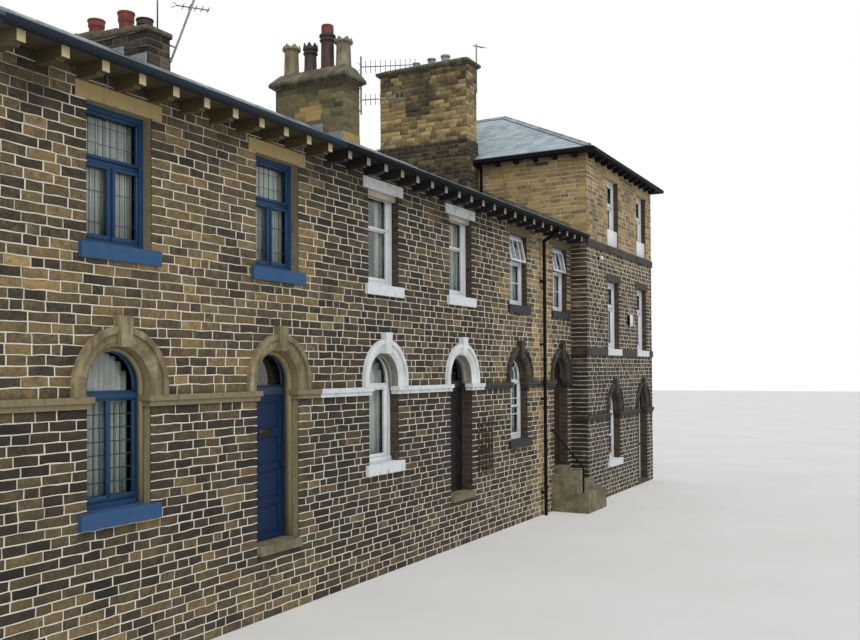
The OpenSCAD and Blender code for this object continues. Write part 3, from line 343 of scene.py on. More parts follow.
def lathe(heap, x, y, z, profile, turns=28, teeth=0, tooth_h=0.0, tone=0.5):
    """Adds a profile of (radius, height, tooth share) turned about an upright line, its outside listed from
    the foot up.

    Where the tooth share is above nought the height rises and falls round the turn, in points, by tooth_h.
    """
    p = np.asarray(profile, float)
    a = np.linspace(0, 2 * np.pi, turns, endpoint=False)
    saw = np.abs((a * teeth / (2 * np.pi) + 0.5) % 1 - 0.5) * 2 if teeth else np.zeros(turns)
    v = np.stack(
        [
            x + p[:, :1] * np.cos(a),
            y + p[:, :1] * np.sin(a),
            z + p[:, 1:2] + p[:, 2:3] * tooth_h * (1 - saw) if p.shape[1] > 2 else z + p[:, 1:2] + 0 * a,
        ],
        -1,
    )
    i = np.arange(len(p) * turns).reshape(len(p), turns)
    j = np.roll(i, -1, 1)
    heap.add(v, np.stack([i[:-1], j[:-1], j[1:], i[1:]], -1).reshape(-1, 4), tone)


# Coursed stone


def free(lo, hi, holes, z0, z1):
    """The stretches of a course from lo to hi that no hole takes.

    A hole of four numbers is left, right, foot and top. One of three is a round head: its axis, radius and
    springing. On each side it takes the root of the radius squared less the square of the height above the
    springing.
    """
    cuts, mid = [], (z0 + z1) / 2
    for h in holes:
        if len(h) == 4 and h[2] < z1 - 0.004 and h[3] > z0 + 0.004:
            cuts.append((h[0], h[1]))
        if len(h) == 3 and 0 <= mid - h[2] < h[1]:
            half = math.sqrt(h[1] ** 2 - (mid - h[2]) ** 2)
            cuts.append((h[0] - half, h[0] + half))
    spans, start = [], lo
    for a, b in sorted(cuts):
        if a > start + 0.01:
            spans.append((start, min(a, hi)))
        start = max(start, b)
    if start < hi - 0.01:
        spans.append((start, hi))
    return [s for s in spans if s[1] - s[0] > 0.03]


def lay(levels, edges, holes, rng, block):
    """Sets out the stones of a wall and the joints between them.

    Blocks are left, right, foot and top, upright joints place, foot and top, beds left, right and level. Each
    free stretch of a course is shared out among stones of uneven length. edges(z) gives the wall's ends.
    """
    blocks, perps, beds = [], [], []
    for k, (z0, z1) in enumerate(zip(levels[:-1], levels[1:])):
        lo, hi = edges((z0 + z1) / 2)
        for a, b in free(lo, hi, holes, z0, z1):
            n = max(1, round((b - a) / block))
            w = rng.uniform(0.5, 1.55, n)
            cuts = a + (b - a) * np.concatenate([[0], np.cumsum(w / w.sum())])
            low, high = np.full(n, z0), np.full(n, z1)
            blocks.append(np.stack([cuts[:-1], cuts[1:], low, high], 1))
            perps.append(np.stack([cuts[1:-1], low[1:], high[1:]], 1))
        if k:
            beds += [(a, b, z0) for a, b in free(lo, hi, holes, z0 - 0.02, z0 + 0.02)]
    return np.concatenate(blocks), np.concatenate(perps), beds


def facing(
    stone, joints, origin, along, out, levels, edges, holes, seed, weather, block=None, relief=None, tall=1.0,
    varied=1.0
):
    """Faces a wall with stones and raised pointing.

    A point (u, v, d) lies at origin + u along + v up + d out. A stone is a grid whose border lies
    on the wall and whose inner points swell out by the relief with some unevenness. A joint is a strip with a
    flat crest. weather(u, v) gives how blackened and how warm in colour the stones are and how much of the
    pointing is lost. Where that is nearly all, the joint is left open. varied is the share of the stones' own
    tones, and of the painted shade that darkens each stone's rim along the joints, carried in its soot value.
    """
    size = bpy.context.scene.row_sizes
    rng = np.random.default_rng(seed)
    origin, along, out = (np.asarray(v, float) for v in (origin, along, out))
    up = np.array([0, 0, 1.0])

    def place(u, v, d):
        return origin + u[..., None] * along + v[..., None] * up + d[..., None] * out

    blocks, perps, beds = lay(np.asarray(levels), edges, holes, rng, (block or size.block))
    swell = size.relief if relief is None else relief
    n = len(blocks)
    w, h = blocks[:, 1] - blocks[:, 0], blocks[:, 3] - blocks[:, 2]
    a = np.minimum(0.016 / w, 0.3)[:, None]
    b = np.minimum(0.014 / h, 0.3)[:, None]
    us = np.concatenate([0 * a, a, 0 * a + 0.5, 1 - a, 0 * a + 1], 1)
    vs = np.concatenate([0 * b, b, 1 - b, 0 * b + 1], 1)
    inner = np.zeros((4, 5))
    inner[1:3, 1:4] = 1
    rough = rng.uniform(0.45, 1.0, (n, 1, 1)) + rng.uniform(-0.3, 0.3, (n, 4, 5))
    d = 0.0006 + inner * swell * rough
    u = blocks[:, :1, None] + (us * w[:, None])[:, None] + inner * rng.uniform(-0.004, 0.004, (n, 4, 5))
    stray = inner * rng.uniform(-0.003, 0.003, (n, 4, 5))
    v = blocks[:, 2][:, None, None] + (vs * h[:, None])[:, :, None] + stray
    soot, warm, _ = weather(blocks[:, :2].mean(1), blocks[:, 2:].mean(1))
    black = np.clip(soot + rng.normal(0, 0.17, n), 0, 1)
    # Painted shade: each stone's border points get 0.3 more soot, which darkens its rim along the joints
    rim = black[:, None] + 0.3 * varied * (1 - inner.ravel())
    tone = 0.5 + varied * (rng.random(n) - 0.5) + warm
    stone.add(place(u, v, d), grid_faces(n, 4, 5), np.repeat(tone, 20), rim.ravel())

    half, crest = size.joint / 2, size.proud * tall
    across = np.array([-half - 0.002, -half, half, half + 0.002])
    rise = np.array([0.0004, crest, crest, 0.0004])
    if len(perps):
        perps = perps[weather(perps[:, 0], perps[:, 1])[2] < 0.9]
    m = len(perps)
    if m:
        wide = across * rng.uniform(0.7, 1.3, (m, 1, 1))
        u = perps[:, 0][:, None, None] + wide + rng.normal(0, 0.003, (m, 2, 1))
        v = np.stack([perps[:, 1], perps[:, 2]], 1)[:, :, None] + np.zeros((m, 2, 4))
        soot, _, lost = weather(perps[:, 0], perps[:, 1])
        rises = rise * rng.uniform(0.7, 1.1, (m, 2, 1))
        lost = np.clip(lost + rng.uniform(-0.2, 0.6, m), 0, 1)
        joints.add(place(u, v, rises), grid_faces(m, 2, 4), np.repeat(lost, 8), np.repeat(soot, 8))
    for a, b, z in beds:
        k = max(2, math.ceil((b - a) / 0.13) + 1)
        u = np.linspace(a, b, k)[None] + np.zeros((4, 1))
        v = z + across[:, None] * rng.uniform(0.6, 1.4, (1, k)) + rng.normal(0, 0.0032, (1, k))
        d = rise[:, None] * rng.uniform(0.7, 1.1, (1, k))
        kept = np.flatnonzero(weather(u[0], v[0])[2] < 0.9)
        if len(kept) > 1:
            u, v, d = (grid[:, kept[0] : kept[-1] + 1] for grid in (u, v, d))
            soot, _, lost = weather(u.ravel(), v.ravel())
            joints.add(place(u, v, d), grid_faces(1, 4, u.shape[1]), lost, soot)


def courses(z0, z1):
    """Levels of the beds between z0 and z1, as near the usual course as they divide."""
    n = max(1, round((z1 - z0) / bpy.context.scene.row_sizes.course))
    return np.linspace(z0, z1, n + 1)


def front_weather(u, v):
    """Weathering of the row's front: soot, warmth and lost pointing.

    Blackest below the impost band, most of all on the second house, browner at the foot. Under the eaves the
    pointing has gone. Beside the rainwater pipe the stone is clean and ochre, by a bell curve 0.5 m wide.
    """
    low = v < SPRING
    house = np.digitize(u, [LINE_AB, 11.4])
    soot = np.where(low, np.array([0.76, 1.02, 0.88])[house], np.array([0.42, 0.84, 0.46])[house])
    soot = soot - 0.25 * np.clip((1.3 - v) / 0.6, 0, 1) + 0.22 * np.clip((v - 5.3) / 0.9, 0, 1)
    for x in WINDOWS + DOORS:
        between = np.clip((UP_SILL - 0.1 - v) / 0.5, 0, 1) * (v > SPRING)
        soot = soot + 0.2 * np.exp(-(((u - x) / 0.55) ** 2)) * between
    pipe = np.exp(-(((u - 13.85) / 0.5) ** 2))
    warm = 0.5 * pipe - 0.1 * low
    lost = 0.7 * np.clip((v - 5.5) / 0.5, 0, 1) + 0.25 * pipe
    return np.clip(soot - 0.75 * pipe, 0, 1), warm, np.clip(lost, 0, 1)


def evenly(soot, warm=0.0, lost=0.0):
    """The same weathering all over, a little more soot towards the foot."""
    return lambda u, v: (soot + 0.25 * np.clip((2.4 - v) / 2.4, 0, 1), warm + 0 * v, lost + 0 * v)


def pavilion_weather(u, v):
    """Weathering of the pavilion: black at the ground storey, brown above it, ochre and clean on the top
    storey."""
    soot = np.interp(v, [0, 1.9, 2.1, 3.6, 6.1, 6.35, 8.4], [1.2, 1.4, 1.35, 0.95, 0.6, 0.1, 0.2])
    warm = np.interp(v, [2.0, 3.5, 6.1, 6.35], [-0.05, 0.0, 0.08, 0.42])
    return soot, warm, np.interp(v, [5.9, 6.4], [0.1, 0.55])


def flank_weather(u, v):
    """Weathering of the pavilion's flank above the row's roof: clean ochre, darker under the eaves."""
    soot, warm, lost = pavilion_weather(u, v)
    high = v > 6.4
    soot = np.where(high, 0.05 + 0.35 * np.clip((v - 8.0) / 0.4, 0, 1), soot)
    return soot, warm + 0.2 * high, lost + np.where(high, 0.08, 0.3)


def rect(x, w, z0, z1):
    """A hole w wide about x, from z0 to z1."""
    return (x - w / 2, x + w / 2, z0, z1)


def roof_z(y):
    """Height of the row's front slope at y."""
    return EAVE + ROOF_SLOPE * (y + EAVE_OUT)


def roof_y(z):
    """How far back the row's front slope reaches the height z, nought below its foot."""
    return max((z - EAVE) / ROOF_SLOPE - EAVE_OUT, 0.0)


def heads(axes, z):
    """The holes that stilted arches on the given axes leave in a facing above their springing z."""
    return [(x, RING_R, z + STILT) for x in axes] + [rect(x, 2 * RING_R, z, z + STILT) for x in axes]


def row_front_stones():
    """Facing of the row's front wall, below and above the impost band."""
    stone, joints = Heap(), Heap()
    holes = [rect(x, 0.88, LOW_SILL, SPRING) for x in WINDOWS]
    holes += [rect(x, 0.88, DOOR_FOOT, SPRING) for x in DOORS]
    place = ((0, 0, 0), (1, 0, 0), (0, -1, 0))
    edges = lambda z: (0.0, ROW_END)
    facing(stone, joints, *place, courses(0, BAND_FOOT), edges, holes, 11, front_weather)
    holes = heads(WINDOWS + DOORS, SPRING) + [rect(x, 0.9, UP_SILL, UP_HEAD) for x in WINDOWS + DOORS]
    facing(stone, joints, *place, courses(SPRING, HEAD), edges, holes, 12, front_weather)
    piece("row_front_blocks", stone, "hammer_dressed_sandstone")
    piece("row_front_pointing", joints, "raised_lime_pointing")


def row_rear_stones():
    """Facing of the row's rear wall, with two rows of windows."""
    stone, joints = Heap(), Heap()
    axes = [ROW_END - x for x in WINDOWS + DOORS]
    holes = [rect(x, 0.9, z, z + 1.48) for x in axes for z in (LOW_SILL, UP_SILL)]
    facing(
        stone, joints, (ROW_END, DEPTH, 0), (-1, 0, 0), (0, 1, 0), courses(0, HEAD), lambda z: (0.0, ROW_END),
        holes, 21, evenly(0.4)
    )
    piece("row_rear_blocks", stone, "hammer_dressed_sandstone")
    piece("row_rear_pointing", joints, "raised_lime_pointing")


def row_end_stones():
    """Facing of the plain party wall at the left end, up to the slopes of the roof."""
    stone, joints = Heap(), Heap()
    edges = lambda z: (roof_y(z + 0.21), DEPTH - roof_y(z + 0.21))
    facing(stone, joints, (0, DEPTH, 0), (0, -1, 0), (-1, 0, 0), courses(0, 8.2), edges, [], 31, evenly(0.45))
    piece("row_end_blocks", stone, "hammer_dressed_sandstone")
    piece("row_end_pointing", joints, "raised_lime_pointing")


def pavilion_stones():
    """Facings of the pavilion: front, right side, rear, and its flank before and above the row's roof."""
    stone, joints = Heap(), Heap()
    width, depth = PAV1 - PAV0, PAV_REAR - PAV_FRONT
    full = lambda z: (0.0, width)
    x0, x1 = (x - PAV0 for x in PAV_AXES)
    holes = [rect(x0, 0.88, PAV_SILLS[0], PAV_SPRING), rect(x1, 0.88, 0, PAV_SPRING)]
    place = ((PAV0, PAV_FRONT, 0), (1, 0, 0), (0, -1, 0))
    facing(stone, joints, *place, courses(0, PAV_SPRING - 0.125), full, holes, 41, pavilion_weather)
    holes = heads((x0, x1), PAV_SPRING)
    holes += [rect(x, 0.9, PAV_SILLS[k], PAV_HEADS[k]) for x in (x0, x1) for k in (1, 2)]
    facing(stone, joints, *place, courses(PAV_SPRING, PAV_HEAD), full, holes, 42, pavilion_weather)
    piece("pavilion_front_blocks", stone, "hammer_dressed_sandstone")
    piece("pavilion_front_pointing", joints, "raised_lime_pointing")
    stone, joints = Heap(), Heap()
    rear = [rect(width - x, 0.9, PAV_SILLS[k], PAV_HEADS[k]) for x in (x0, x1) for k in (0, 1, 2)]
    facing(
        stone, joints, (PAV1, PAV_REAR, 0), (-1, 0, 0), (0, 1, 0), courses(0, PAV_HEAD), full, rear, 44,
        evenly(0.4)
    )
    side = lambda z: (0.0, depth)
    facing(
        stone, joints, (PAV1, PAV_FRONT, 0), (0, 1, 0), (1, 0, 0), courses(0, PAV_HEAD), side, [], 45,
        evenly(0.42)
    )
    front, back = STACKS[3][4], STACKS[3][4] + STACKS[3][2]
    before = lambda z: (max(front - roof_y(z - 0.06), 0.0), front - PAV_FRONT)
    behind = lambda z: (0.0, min(PAV_REAR - DEPTH + roof_y(z - 0.06), PAV_REAR - back))
    for start, flank, seed in ((front, before, 43), (PAV_REAR, behind, 46)):
        place = ((PAV0, start, 0), (0, -1, 0), (-1, 0, 0))
        facing(stone, joints, *place, courses(0, PAV_HEAD), flank, [], seed, flank_weather, tall=0.8)
    piece("pavilion_side_blocks", stone, "hammer_dressed_sandstone")
    piece("pavilion_side_pointing", joints, "raised_lime_pointing")


def spot(u, v, u0, v0, du, dv):
    """One inside an oval patch, falling to nought at its rim."""
    return np.clip(1.6 - 1.6 * (((u - u0) / du) ** 2 + ((v - v0) / dv) ** 2), 0, 1)


def stack_weather(k, n):
    """Weathering of side n of stack k: soot, warmth and lost pointing; side 3 is the long one that looks
    along the row."""

    def weather(u, v):
        if k < 2:
            return 0.85 + 0.15 * (v > 8.2) + 0 * u, -0.1 + 0.4 * spot(u, v, 1.3, 8.0, 0.5, 0.2), 0.65 + 0 * v
        if k == 2:
            bare = spot(u, v, 0.95, 8.63, 0.38, 0.24) if n == 3 else spot(u, v, 0.3, 7.95, 0.4, 0.3)
            return 0.35 + 0.35 * (v > 9.1) - 0.3 * bare + 0 * u, 0.95 * bare - 0.28, 0.98 - 0.75 * bare
        stain = spot(u, v, 1.15, 10.1, 0.45, 0.75) if n == 3 else 0 * u
        band = np.exp(-(((v - 8.86) / 0.13) ** 2))
        olive = 0.35 * np.clip((v - 9.7) / 0.8, 0, 1)
        soot = np.clip(0.3 + 0.65 * stain + 0.6 * band + olive, 0, 1)
        return soot, 0.15 - 0.5 * olive + 0 * u, 0.5 + 0.3 * (v > 9.8) + 0 * u

    return weather


def stack_stones():
    """Facings of the four stacks above the roofs: dark stone on two, render on the third, ochre stone on the
    last."""
    finishes = ("soot_black_sandstone", "soot_black_sandstone", "patched_lime_render", "ochre_sandstone")
    for k, (x, w, l, top, y0) in enumerate(STACKS):
        stone, joints = Heap(), Heap()
        y1 = y0 + l
        foot = (7.65, 7.65, 7.65, 8.94)[k]
        sides = (
            ((x, y0, 0), (1, 0, 0), (0, -1, 0), w),
            ((x + w, y0, 0), (0, 1, 0), (1, 0, 0), l),
            ((x + w, y1, 0), (-1, 0, 0), (0, 1, 0), w),
            ((x, y1, 0), (0, -1, 0), (-1, 0, 0), l),
        )
        relief, tall = (0.012, 0.012, 0.002, 0.012)[k], (0.7, 0.7, 0.2, 0.35)[k]
        for n, (origin, along, out, width) in enumerate(sides):
            edges = lambda z, width=width: (0.0, width)
            facing(
                stone, joints, origin, along, out, courses(foot, top), edges, [], 60 + 4 * k + n,
                stack_weather(k, n), (0.26, 0.26, 0.3, 0.2)[k], relief, tall, 0.12 if k == 2 else 1.0
            )
        if k == 3:
            o = STACK_FOOT_OUT
            for n, (origin, along, out, width) in enumerate(sides[:1] + sides[2:]):
                grown = width + (2 * o if n == 2 else o)
                shift = np.array(along if n else (1, 0, 0))
                start = np.array(origin) + o * np.array(out) - o * shift
                edges = lambda z, g=grown: (0.0, g)
                facing(
                    stone, joints, start, along, out, courses(6.9, 8.94), edges, [], 90 + n,
                    evenly(0.95, -0.35, 0.5), 0.2, 0.012, 0.4
                )
        name = "stack_" + ("end", "ab", "bc", "cd")[k]
        piece(name + "_blocks", stone, finishes[k])
        piece(name + "_pointing", joints, "stack_pointing")


def stack_heads():
    """Heads of the stacks: moulded slab edges on the tall ones, a rough top course and bed of mortar on the
    low ones.

    The bed is a sheet whose height rises evenly to the rear and falls away to its rim.
    """
    stone, slab = Heap(), Heap()
    rng = np.random.default_rng(77)
    for k, (x, w, l, top, y0) in enumerate(STACKS):
        out, thick, _ = CAPS[k]
        left, right, y1 = max(x - out, 0.0), x + w + out, y0 + l
        if k < 2:
            for y, run in (
                (y0 - out - 0.006, (1, 0)), (y1 + out + 0.006, (1, 0)), (left - 0.006, (0, 1)),
                (right + 0.006, (0, 1))
            ):
                a, b = (left, right) if run[0] else (y0 - out, y1 + out)
                stray = rng.uniform(-0.04, 0.04, 1 if run[0] else 5)
                cuts = np.linspace(a, b, 3 if run[0] else 7) + np.r_[0, stray, 0]
                for p, q in zip(cuts[:-1], cuts[1:]):
                    t = 0.012 + rng.uniform(0, 0.01)
                    lift = 0.15 * np.clip(((y if run[0] else (p + q) / 2) - y0) / l, 0, 1)
                    lo = (p + 0.004, y - t, top + 0.006 + lift / 2)
                    hi = (q - 0.004, y + t, top + thick + lift - rng.uniform(0.002, 0.012))
                    if not run[0]:
                        lo, hi = (y - t, p + 0.004, lo[2]), (y + t, q - 0.004, hi[2])
                    if k or run[0] or y > left:
                        boxes(stone, lo, hi, 0.012)
            u, v = np.meshgrid(np.linspace(0, 1, 7), np.linspace(0, 1, 13))
            rim = np.clip(4 * np.minimum(np.minimum(u, 1 - u), 3 * np.minimum(v, 1 - v)), 0, 1)
            bed = top + thick - 0.015 + 0.15 * v + 0.07 * rim + rng.uniform(-0.006, 0.006, u.shape)
            deck = np.stack([left + u * (right - left), y0 - out + v * (l + 2 * out), bed], -1)
            slab.add(deck, grid_faces(1, 13, 7))
            us = np.linspace(y1 + 0.012, y0 - 0.012, 14)
            zs = top - 0.15 - 0.05 * (y1 - us) + rng.normal(0, 0.004, 14)
            if k:
                section = [(-0.009, 0.012), (0.009, 0.012), (0.014, -0.004), (-0.014, -0.004)]
                sweep(slab, np.stack([np.full(14, x - 0.008), us, zs], 1), section, (-1, 0, 0))
        else:
            for n, o in enumerate((0.03, 0.055, 0.08)):
                boxes(
                    slab, (x - o, y0 - o, top - 0.06 + n * 0.02), (x + w + o, y1 + o, top - 0.04 + n * 0.02),
                    0.006
                )
            boxes(
                slab, (left - 0.006, y0 - out - 0.006, top + 0.01),
                (right + 0.006, y1 + out + 0.006, top + thick - 0.01), 0.012
            )
    piece("stack_head_courses", stone, "soot_black_sandstone")
    piece("stack_cap_edges", slab, "weathered_mortar")


def arch_joints():
    """Thin mortar joints between the unpainted arch stones: each is a strip across the splay, the face and
    the hood."""
    heap = Heap()
    profile = [
        (0.441, 0.004), (0.494, 0.0465), (0.579, 0.0465), (0.5815, 0.0765), (0.6505, 0.0765), (0.6515, 0.004)
    ]
    r, d = np.array(profile).T
    bare = (WINDOWS[0], DOORS[0], WINDOWS[2], DOORS[2])
    centres = [(x, 0.0, SPRING + STILT) for x in bare]
    centres += [(x, PAV_FRONT, PAV_SPRING + STILT) for x in PAV_AXES]
    for x, y, z in centres:
        angles = np.radians([10, 28, 46, 62, 118, 134, 152, 170])
        ray = np.stack([np.cos(angles), 0 * angles, np.sin(angles)], 1)
        side = np.stack([-np.sin(angles), 0 * angles, np.cos(angles)], 1)
        mid = np.array([x, y, z]) + r[None, :, None] * ray[:, None] - d[None, :, None] * np.array([0, 1, 0])
        strip = np.stack([mid + 0.0035 * side[:, None], mid - 0.0035 * side[:, None]], 1)
        heap.add(strip, grid_faces(len(angles), 2, len(r))[:, ::-1])
    piece("arch_joints", heap, "arch_mortar")


# Roofs


def slates(heap, origin, along, upslope, out, length, limits, holes, seed):
    """Covers a slope with slates: wedges whose tails stand on the course below, cut to the slope's edges.

    A point (u, w, d) lies at origin + u along + w upslope + d out. limits(w) gives the slope's edges at w.
    """
    size = bpy.context.scene.row_sizes
    rng = np.random.default_rng(seed)
    origin, along, upslope, out = (np.asarray(v, float) for v in (origin, along, upslope, out))
    rows = []
    n_rows = round(length / size.gauge)
    for k in range(n_rows):
        w0, w1 = k * length / n_rows, (k + 1) * length / n_rows
        lo, hi = limits(w0)
        for a, b in free(lo, hi, holes, w0, w1):
            n = max(1, round((b - a) / size.slate_w))
            w = rng.uniform(0.8, 1.2, n + 1)
            w[0] *= rng.uniform(0.4, 1.0)
            cuts = a + (b - a) * np.concatenate([[0], np.cumsum(w / w.sum())])
            tall = np.full(n + 1, min(w1 + 0.02, length))
            rows.append(np.stack([cuts[:-1] + 0.0015, cuts[1:] - 0.0015, np.full(n + 1, w0), tall], 1))
    r = np.concatenate(rows)
    n = len(r)
    slip = rng.normal(0, 0.003, n)
    lift = size.slate_t * rng.uniform(0.85, 1.25, n)
    w = np.stack([r[:, 2] + slip, r[:, 2] + slip, r[:, 3]], 1)
    lims = np.array([[limits(x) for x in row] for row in w])
    u = np.stack([r[:, 0], (r[:, 0] + r[:, 1]) / 2, r[:, 1]], 1)
    us = np.clip(u[:, None], lims[..., :1], lims[..., 1:])
    skew = rng.normal(0, 0.0012, (n, 1))
    rise = np.stack([np.full(n, 0.0005), lift, np.full(n, 0.0015)], 1)
    tilt = np.array([-1, 0, 1]) * skew[:, :, None] * np.array([0, 1, 0])[None, :, None]
    d = rise[:, :, None] + tilt
    ws = w[:, :, None] + np.zeros((1, 1, 3))
    v = origin + us[..., None] * along + ws[..., None] * upslope + d[..., None] * out
    tone = rng.random(n)
    heap.add(v, grid_faces(n, 3, 3), np.repeat(tone, 9))
    for edge, flip in ((0, True), (2, False)):
        foot = v[:, 1, edge] - (lift - 0.0005)[:, None] * out
        side = np.stack([foot, v[:, 1, edge], v[:, 2, edge]], 1)
        tri = np.arange(3 * n).reshape(n, 3)
        heap.add(side, tri[:, ::-1] if not flip else tri, np.repeat(tone, 3))


def ridge_tiles(heap, p, q, rng, wing=0.16, drop=0.075):
    """Adds ridge or hip tiles from p to q: two wings that fall away from a rounded crest, each tile lapping
    the next."""
    tile_l, crest_r, lap = 0.45, 0.035, 0.004
    p, q = np.asarray(p, float), np.asarray(q, float)
    length = np.linalg.norm(q - p)
    n = max(1, round(length / tile_l))
    t = (q - p) / length
    level = np.cross(t, [0, 0, 1])
    level /= np.linalg.norm(level)
    up = np.cross(level, t)
    a = np.radians(np.linspace(180, 0, 7))
    crest = np.stack([crest_r * np.cos(a), crest_r * (np.sin(a) - 0.3)], 1)
    outer = np.concatenate([[(-wing, -drop)], crest, [(wing, -drop)]])
    inner = np.concatenate([[(wing, -drop - 0.012)], [(0.0, -0.02)], [(-wing, -drop - 0.012)]])
    section = np.concatenate([outer, inner])
    for k in range(n):
        ends = (p + t * (k * length / n) + up * lap, p + t * ((k + 1) * length / n - lap))
        v = np.stack([e + section[:, :1] * level + section[:, 1:] * up for e in ends])
        i = np.arange(2 * len(section)).reshape(2, -1)
        j = np.roll(i, -1, 1)
        heap.add(v, [np.stack([i[0], i[1], j[1], j[0]], -1)], rng.random())


def row_slates():
    """Slates of the row's two slopes, round the stacks."""
    run, rise = RIDGE_Y + EAVE_OUT, RIDGE - EAVE
    length = math.hypot(run, rise)
    c, s = run / length, rise / length
    edge = [0, 0, 0, 0.045]
    fore = [
        (x - 0.01 - e, x + w + 0.01 + 9 * e, (y0 + EAVE_OUT) / c - 0.01 - e, 99.0)
        for (x, w, _, _, y0), e in zip(STACKS, edge)
    ]
    aft = [
        (ROW_END - b, ROW_END - a, (DEPTH + EAVE_OUT - y0 - l) / c - 0.01 - e, 99.0)
        for (a, b, _, _), (_, _, l, _, y0), e in zip(fore, STACKS, edge)
    ]
    front, rear = Heap(), Heap()
    ends = lambda w: (0.0, ROW_END)
    slates(front, (0, -EAVE_OUT, EAVE), (1, 0, 0), (0, c, s), (0, -s, c), length, ends, fore, 71)
    back = (ROW_END, DEPTH + EAVE_OUT, EAVE)
    slates(rear, back, (-1, 0, 0), (0, -c, s), (0, s, c), length, ends, aft, 72)
    piece("row_front_slates", front, "wet_blue_slate")
    piece("row_rear_slates", rear, "wet_blue_slate")
    rng = np.random.default_rng(73)
    tiles = Heap()
    for (x, w, *_), (after, *_), out in zip(STACKS, STACKS[1:], (0, 0, STACK_FOOT_OUT)):
        a, b = x + w + 0.01, after - out - 0.01
        ridge_tiles(tiles, (a, RIDGE_Y, RIDGE + 0.012), (b, RIDGE_Y, RIDGE + 0.012), rng)
    piece("row_ridge_tiles", tiles, "grey_ridge_stone", smooth=50)


def pavilion_slates():
    """Slates of the pavilion's hip roof, cut to the hips, with hip and ridge tiles."""
    heap, tiles = Heap(), Heap()
    rng = np.random.default_rng(81)
    x0, x1 = PAV0 - PAV_EAVE_OUT, PAV1 + PAV_EAVE_OUT
    y0, y1 = PAV_FRONT - PAV_EAVE_OUT, PAV_REAR + PAV_EAVE_OUT
    xm, half, rise = (x0 + x1) / 2, (x1 - x0) / 2, PAV_RIDGE - PAV_EAVE
    end_l, side_l = math.hypot(PAV_HIP, rise), math.hypot(half, rise)
    depth = y1 - y0
    c, s = PAV_HIP / end_l, rise / end_l
    shrink = lambda w: (half * w / end_l, 2 * half - half * w / end_l)
    slates(heap, (x0, y0, PAV_EAVE), (1, 0, 0), (0, c, s), (0, -s, c), end_l, shrink, [], 82)
    slates(heap, (x1, y1, PAV_EAVE), (-1, 0, 0), (0, -c, s), (0, s, c), end_l, shrink, [], 83)
    c, s = half / side_l, rise / side_l
    draw = lambda w: (PAV_HIP * w / side_l, depth - PAV_HIP * w / side_l)
    stack = STACKS[3]
    gap = [(y1 - stack[4] - stack[2] - 0.05, y1 - stack[4] + 0.05, -1.0, 0.30)]
    slates(heap, (x0, y1, PAV_EAVE), (0, -1, 0), (c, 0, s), (-s, 0, c), side_l, draw, gap, 84)
    slates(heap, (x1, y0, PAV_EAVE), (0, 1, 0), (-c, 0, s), (s, 0, c), side_l, draw, [], 85)
    piece("pavilion_slates", heap, "pale_wet_slate")
    r0, r1 = (xm, y0 + PAV_HIP, PAV_RIDGE + 0.012), (xm, y1 - PAV_HIP, PAV_RIDGE + 0.012)
    ridge_tiles(tiles, r0, r1, rng)
    for corner, top in (((x0, y0), r0), ((x1, y0), r0), ((x0, y1), r1), ((x1, y1), r1)):
        foot = np.array([*corner, PAV_EAVE + 0.012])
        ridge_tiles(tiles, foot + (np.array(top) - foot) * 0.012, top, rng, wing=0.13, drop=0.03)
    piece("pavilion_ridge_tiles", tiles, "grey_ridge_stone", smooth=50)


def lead_flashings():
    """Lead where the stacks meet the row's roof, an apron in front and two ribbed plates on each side.

    A rib's height along a plate is 20 mm times the sine of its phase, squared. A mortar fillet of three-sided
    section follows the roof along the pavilion's flank.
    """
    heap, fillet = Heap(), Heap()
    behind = lambda p: np.stack([p[..., 0], DEPTH - p[..., 1], p[..., 2]], -1)
    for mirror in (False, True):
        flip = behind if mirror else np.asarray
        for k, (x, w, l, _, front) in enumerate(STACKS):
            grow = STACK_FOOT_OUT if k == 3 else 0.0
            y0 = (DEPTH - front - l if mirror else front) - grow
            us = np.linspace(max(x - 0.09 - grow, 0.0), min(x + w + 0.09, ROW_END - 0.005), 6)
            y = np.array([y0 - 0.16, y0 - 0.16, y0 - 0.016, y0 - 0.016])
            z = roof_z(y) + np.array([0.004, 0.012, 0.014, 0.04])
            apron = np.stack([us[None] + 0 * z[:, None], y[:, None] + 0 * us, z[:, None] + 0 * us], -1)
            heap.add(flip(apron), grid_faces(1, 4, 6)[:, :: -1 if mirror else 1])
            for side, wall in ((-1, x), (1, x + w)):
                if (k == 0 and side < 0) or k == 3:
                    continue
                order = -1 if (side > 0) == mirror else 1
                for a, b in ((y0, y0 + 0.40), (y0 + 0.50, RIDGE_Y)):
                    ys = np.linspace(a, b, 41)
                    ribs = wall + side * (0.014 + 0.02 * np.sin((ys - a) * 75) ** 2)
                    zs = np.stack([roof_z(ys) - 0.01, np.full(41, roof_z(b) + 0.02)])
                    plate = np.stack([np.stack([ribs, ribs]), np.stack([ys, ys]), zs], -1)
                    heap.add(flip(plate), grid_faces(1, 2, 41)[:, ::order])
                    sole = np.array(
                        [
                            [wall, a, roof_z(a)], [wall + side * 0.1, a, roof_z(a)],
                            [wall + side * 0.1, b, roof_z(b)], [wall, b, roof_z(b)]
                        ]
                    )
                    heap.add(flip(sole + np.array([0, 0, 0.019])), np.array([[0, 1, 2, 3][:: order]]))
        end = (DEPTH - STACKS[3][4] - STACKS[3][2] if mirror else STACKS[3][4]) - 0.045
        ys = np.linspace(0.0, end, 24)
        face = np.array([(-0.075, 0.012), (-0.02, 0.03), (-0.009, 0.085)])
        zs = roof_z(ys) + 0.006 * np.sin(ys * 9)
        band = np.stack([np.stack([np.full(24, ROW_END + dx), ys, zs + dz], 1) for dx, dz in face])
        fillet.add(flip(band), grid_faces(1, 3, 24)[:, :: -1 if mirror else 1][:, ::-1])
    piece("lead_flashings", heap, "milled_lead")
    piece("mortar_fillets", fillet, "weathered_mortar", smooth=40)


# Chimney pots and aerials


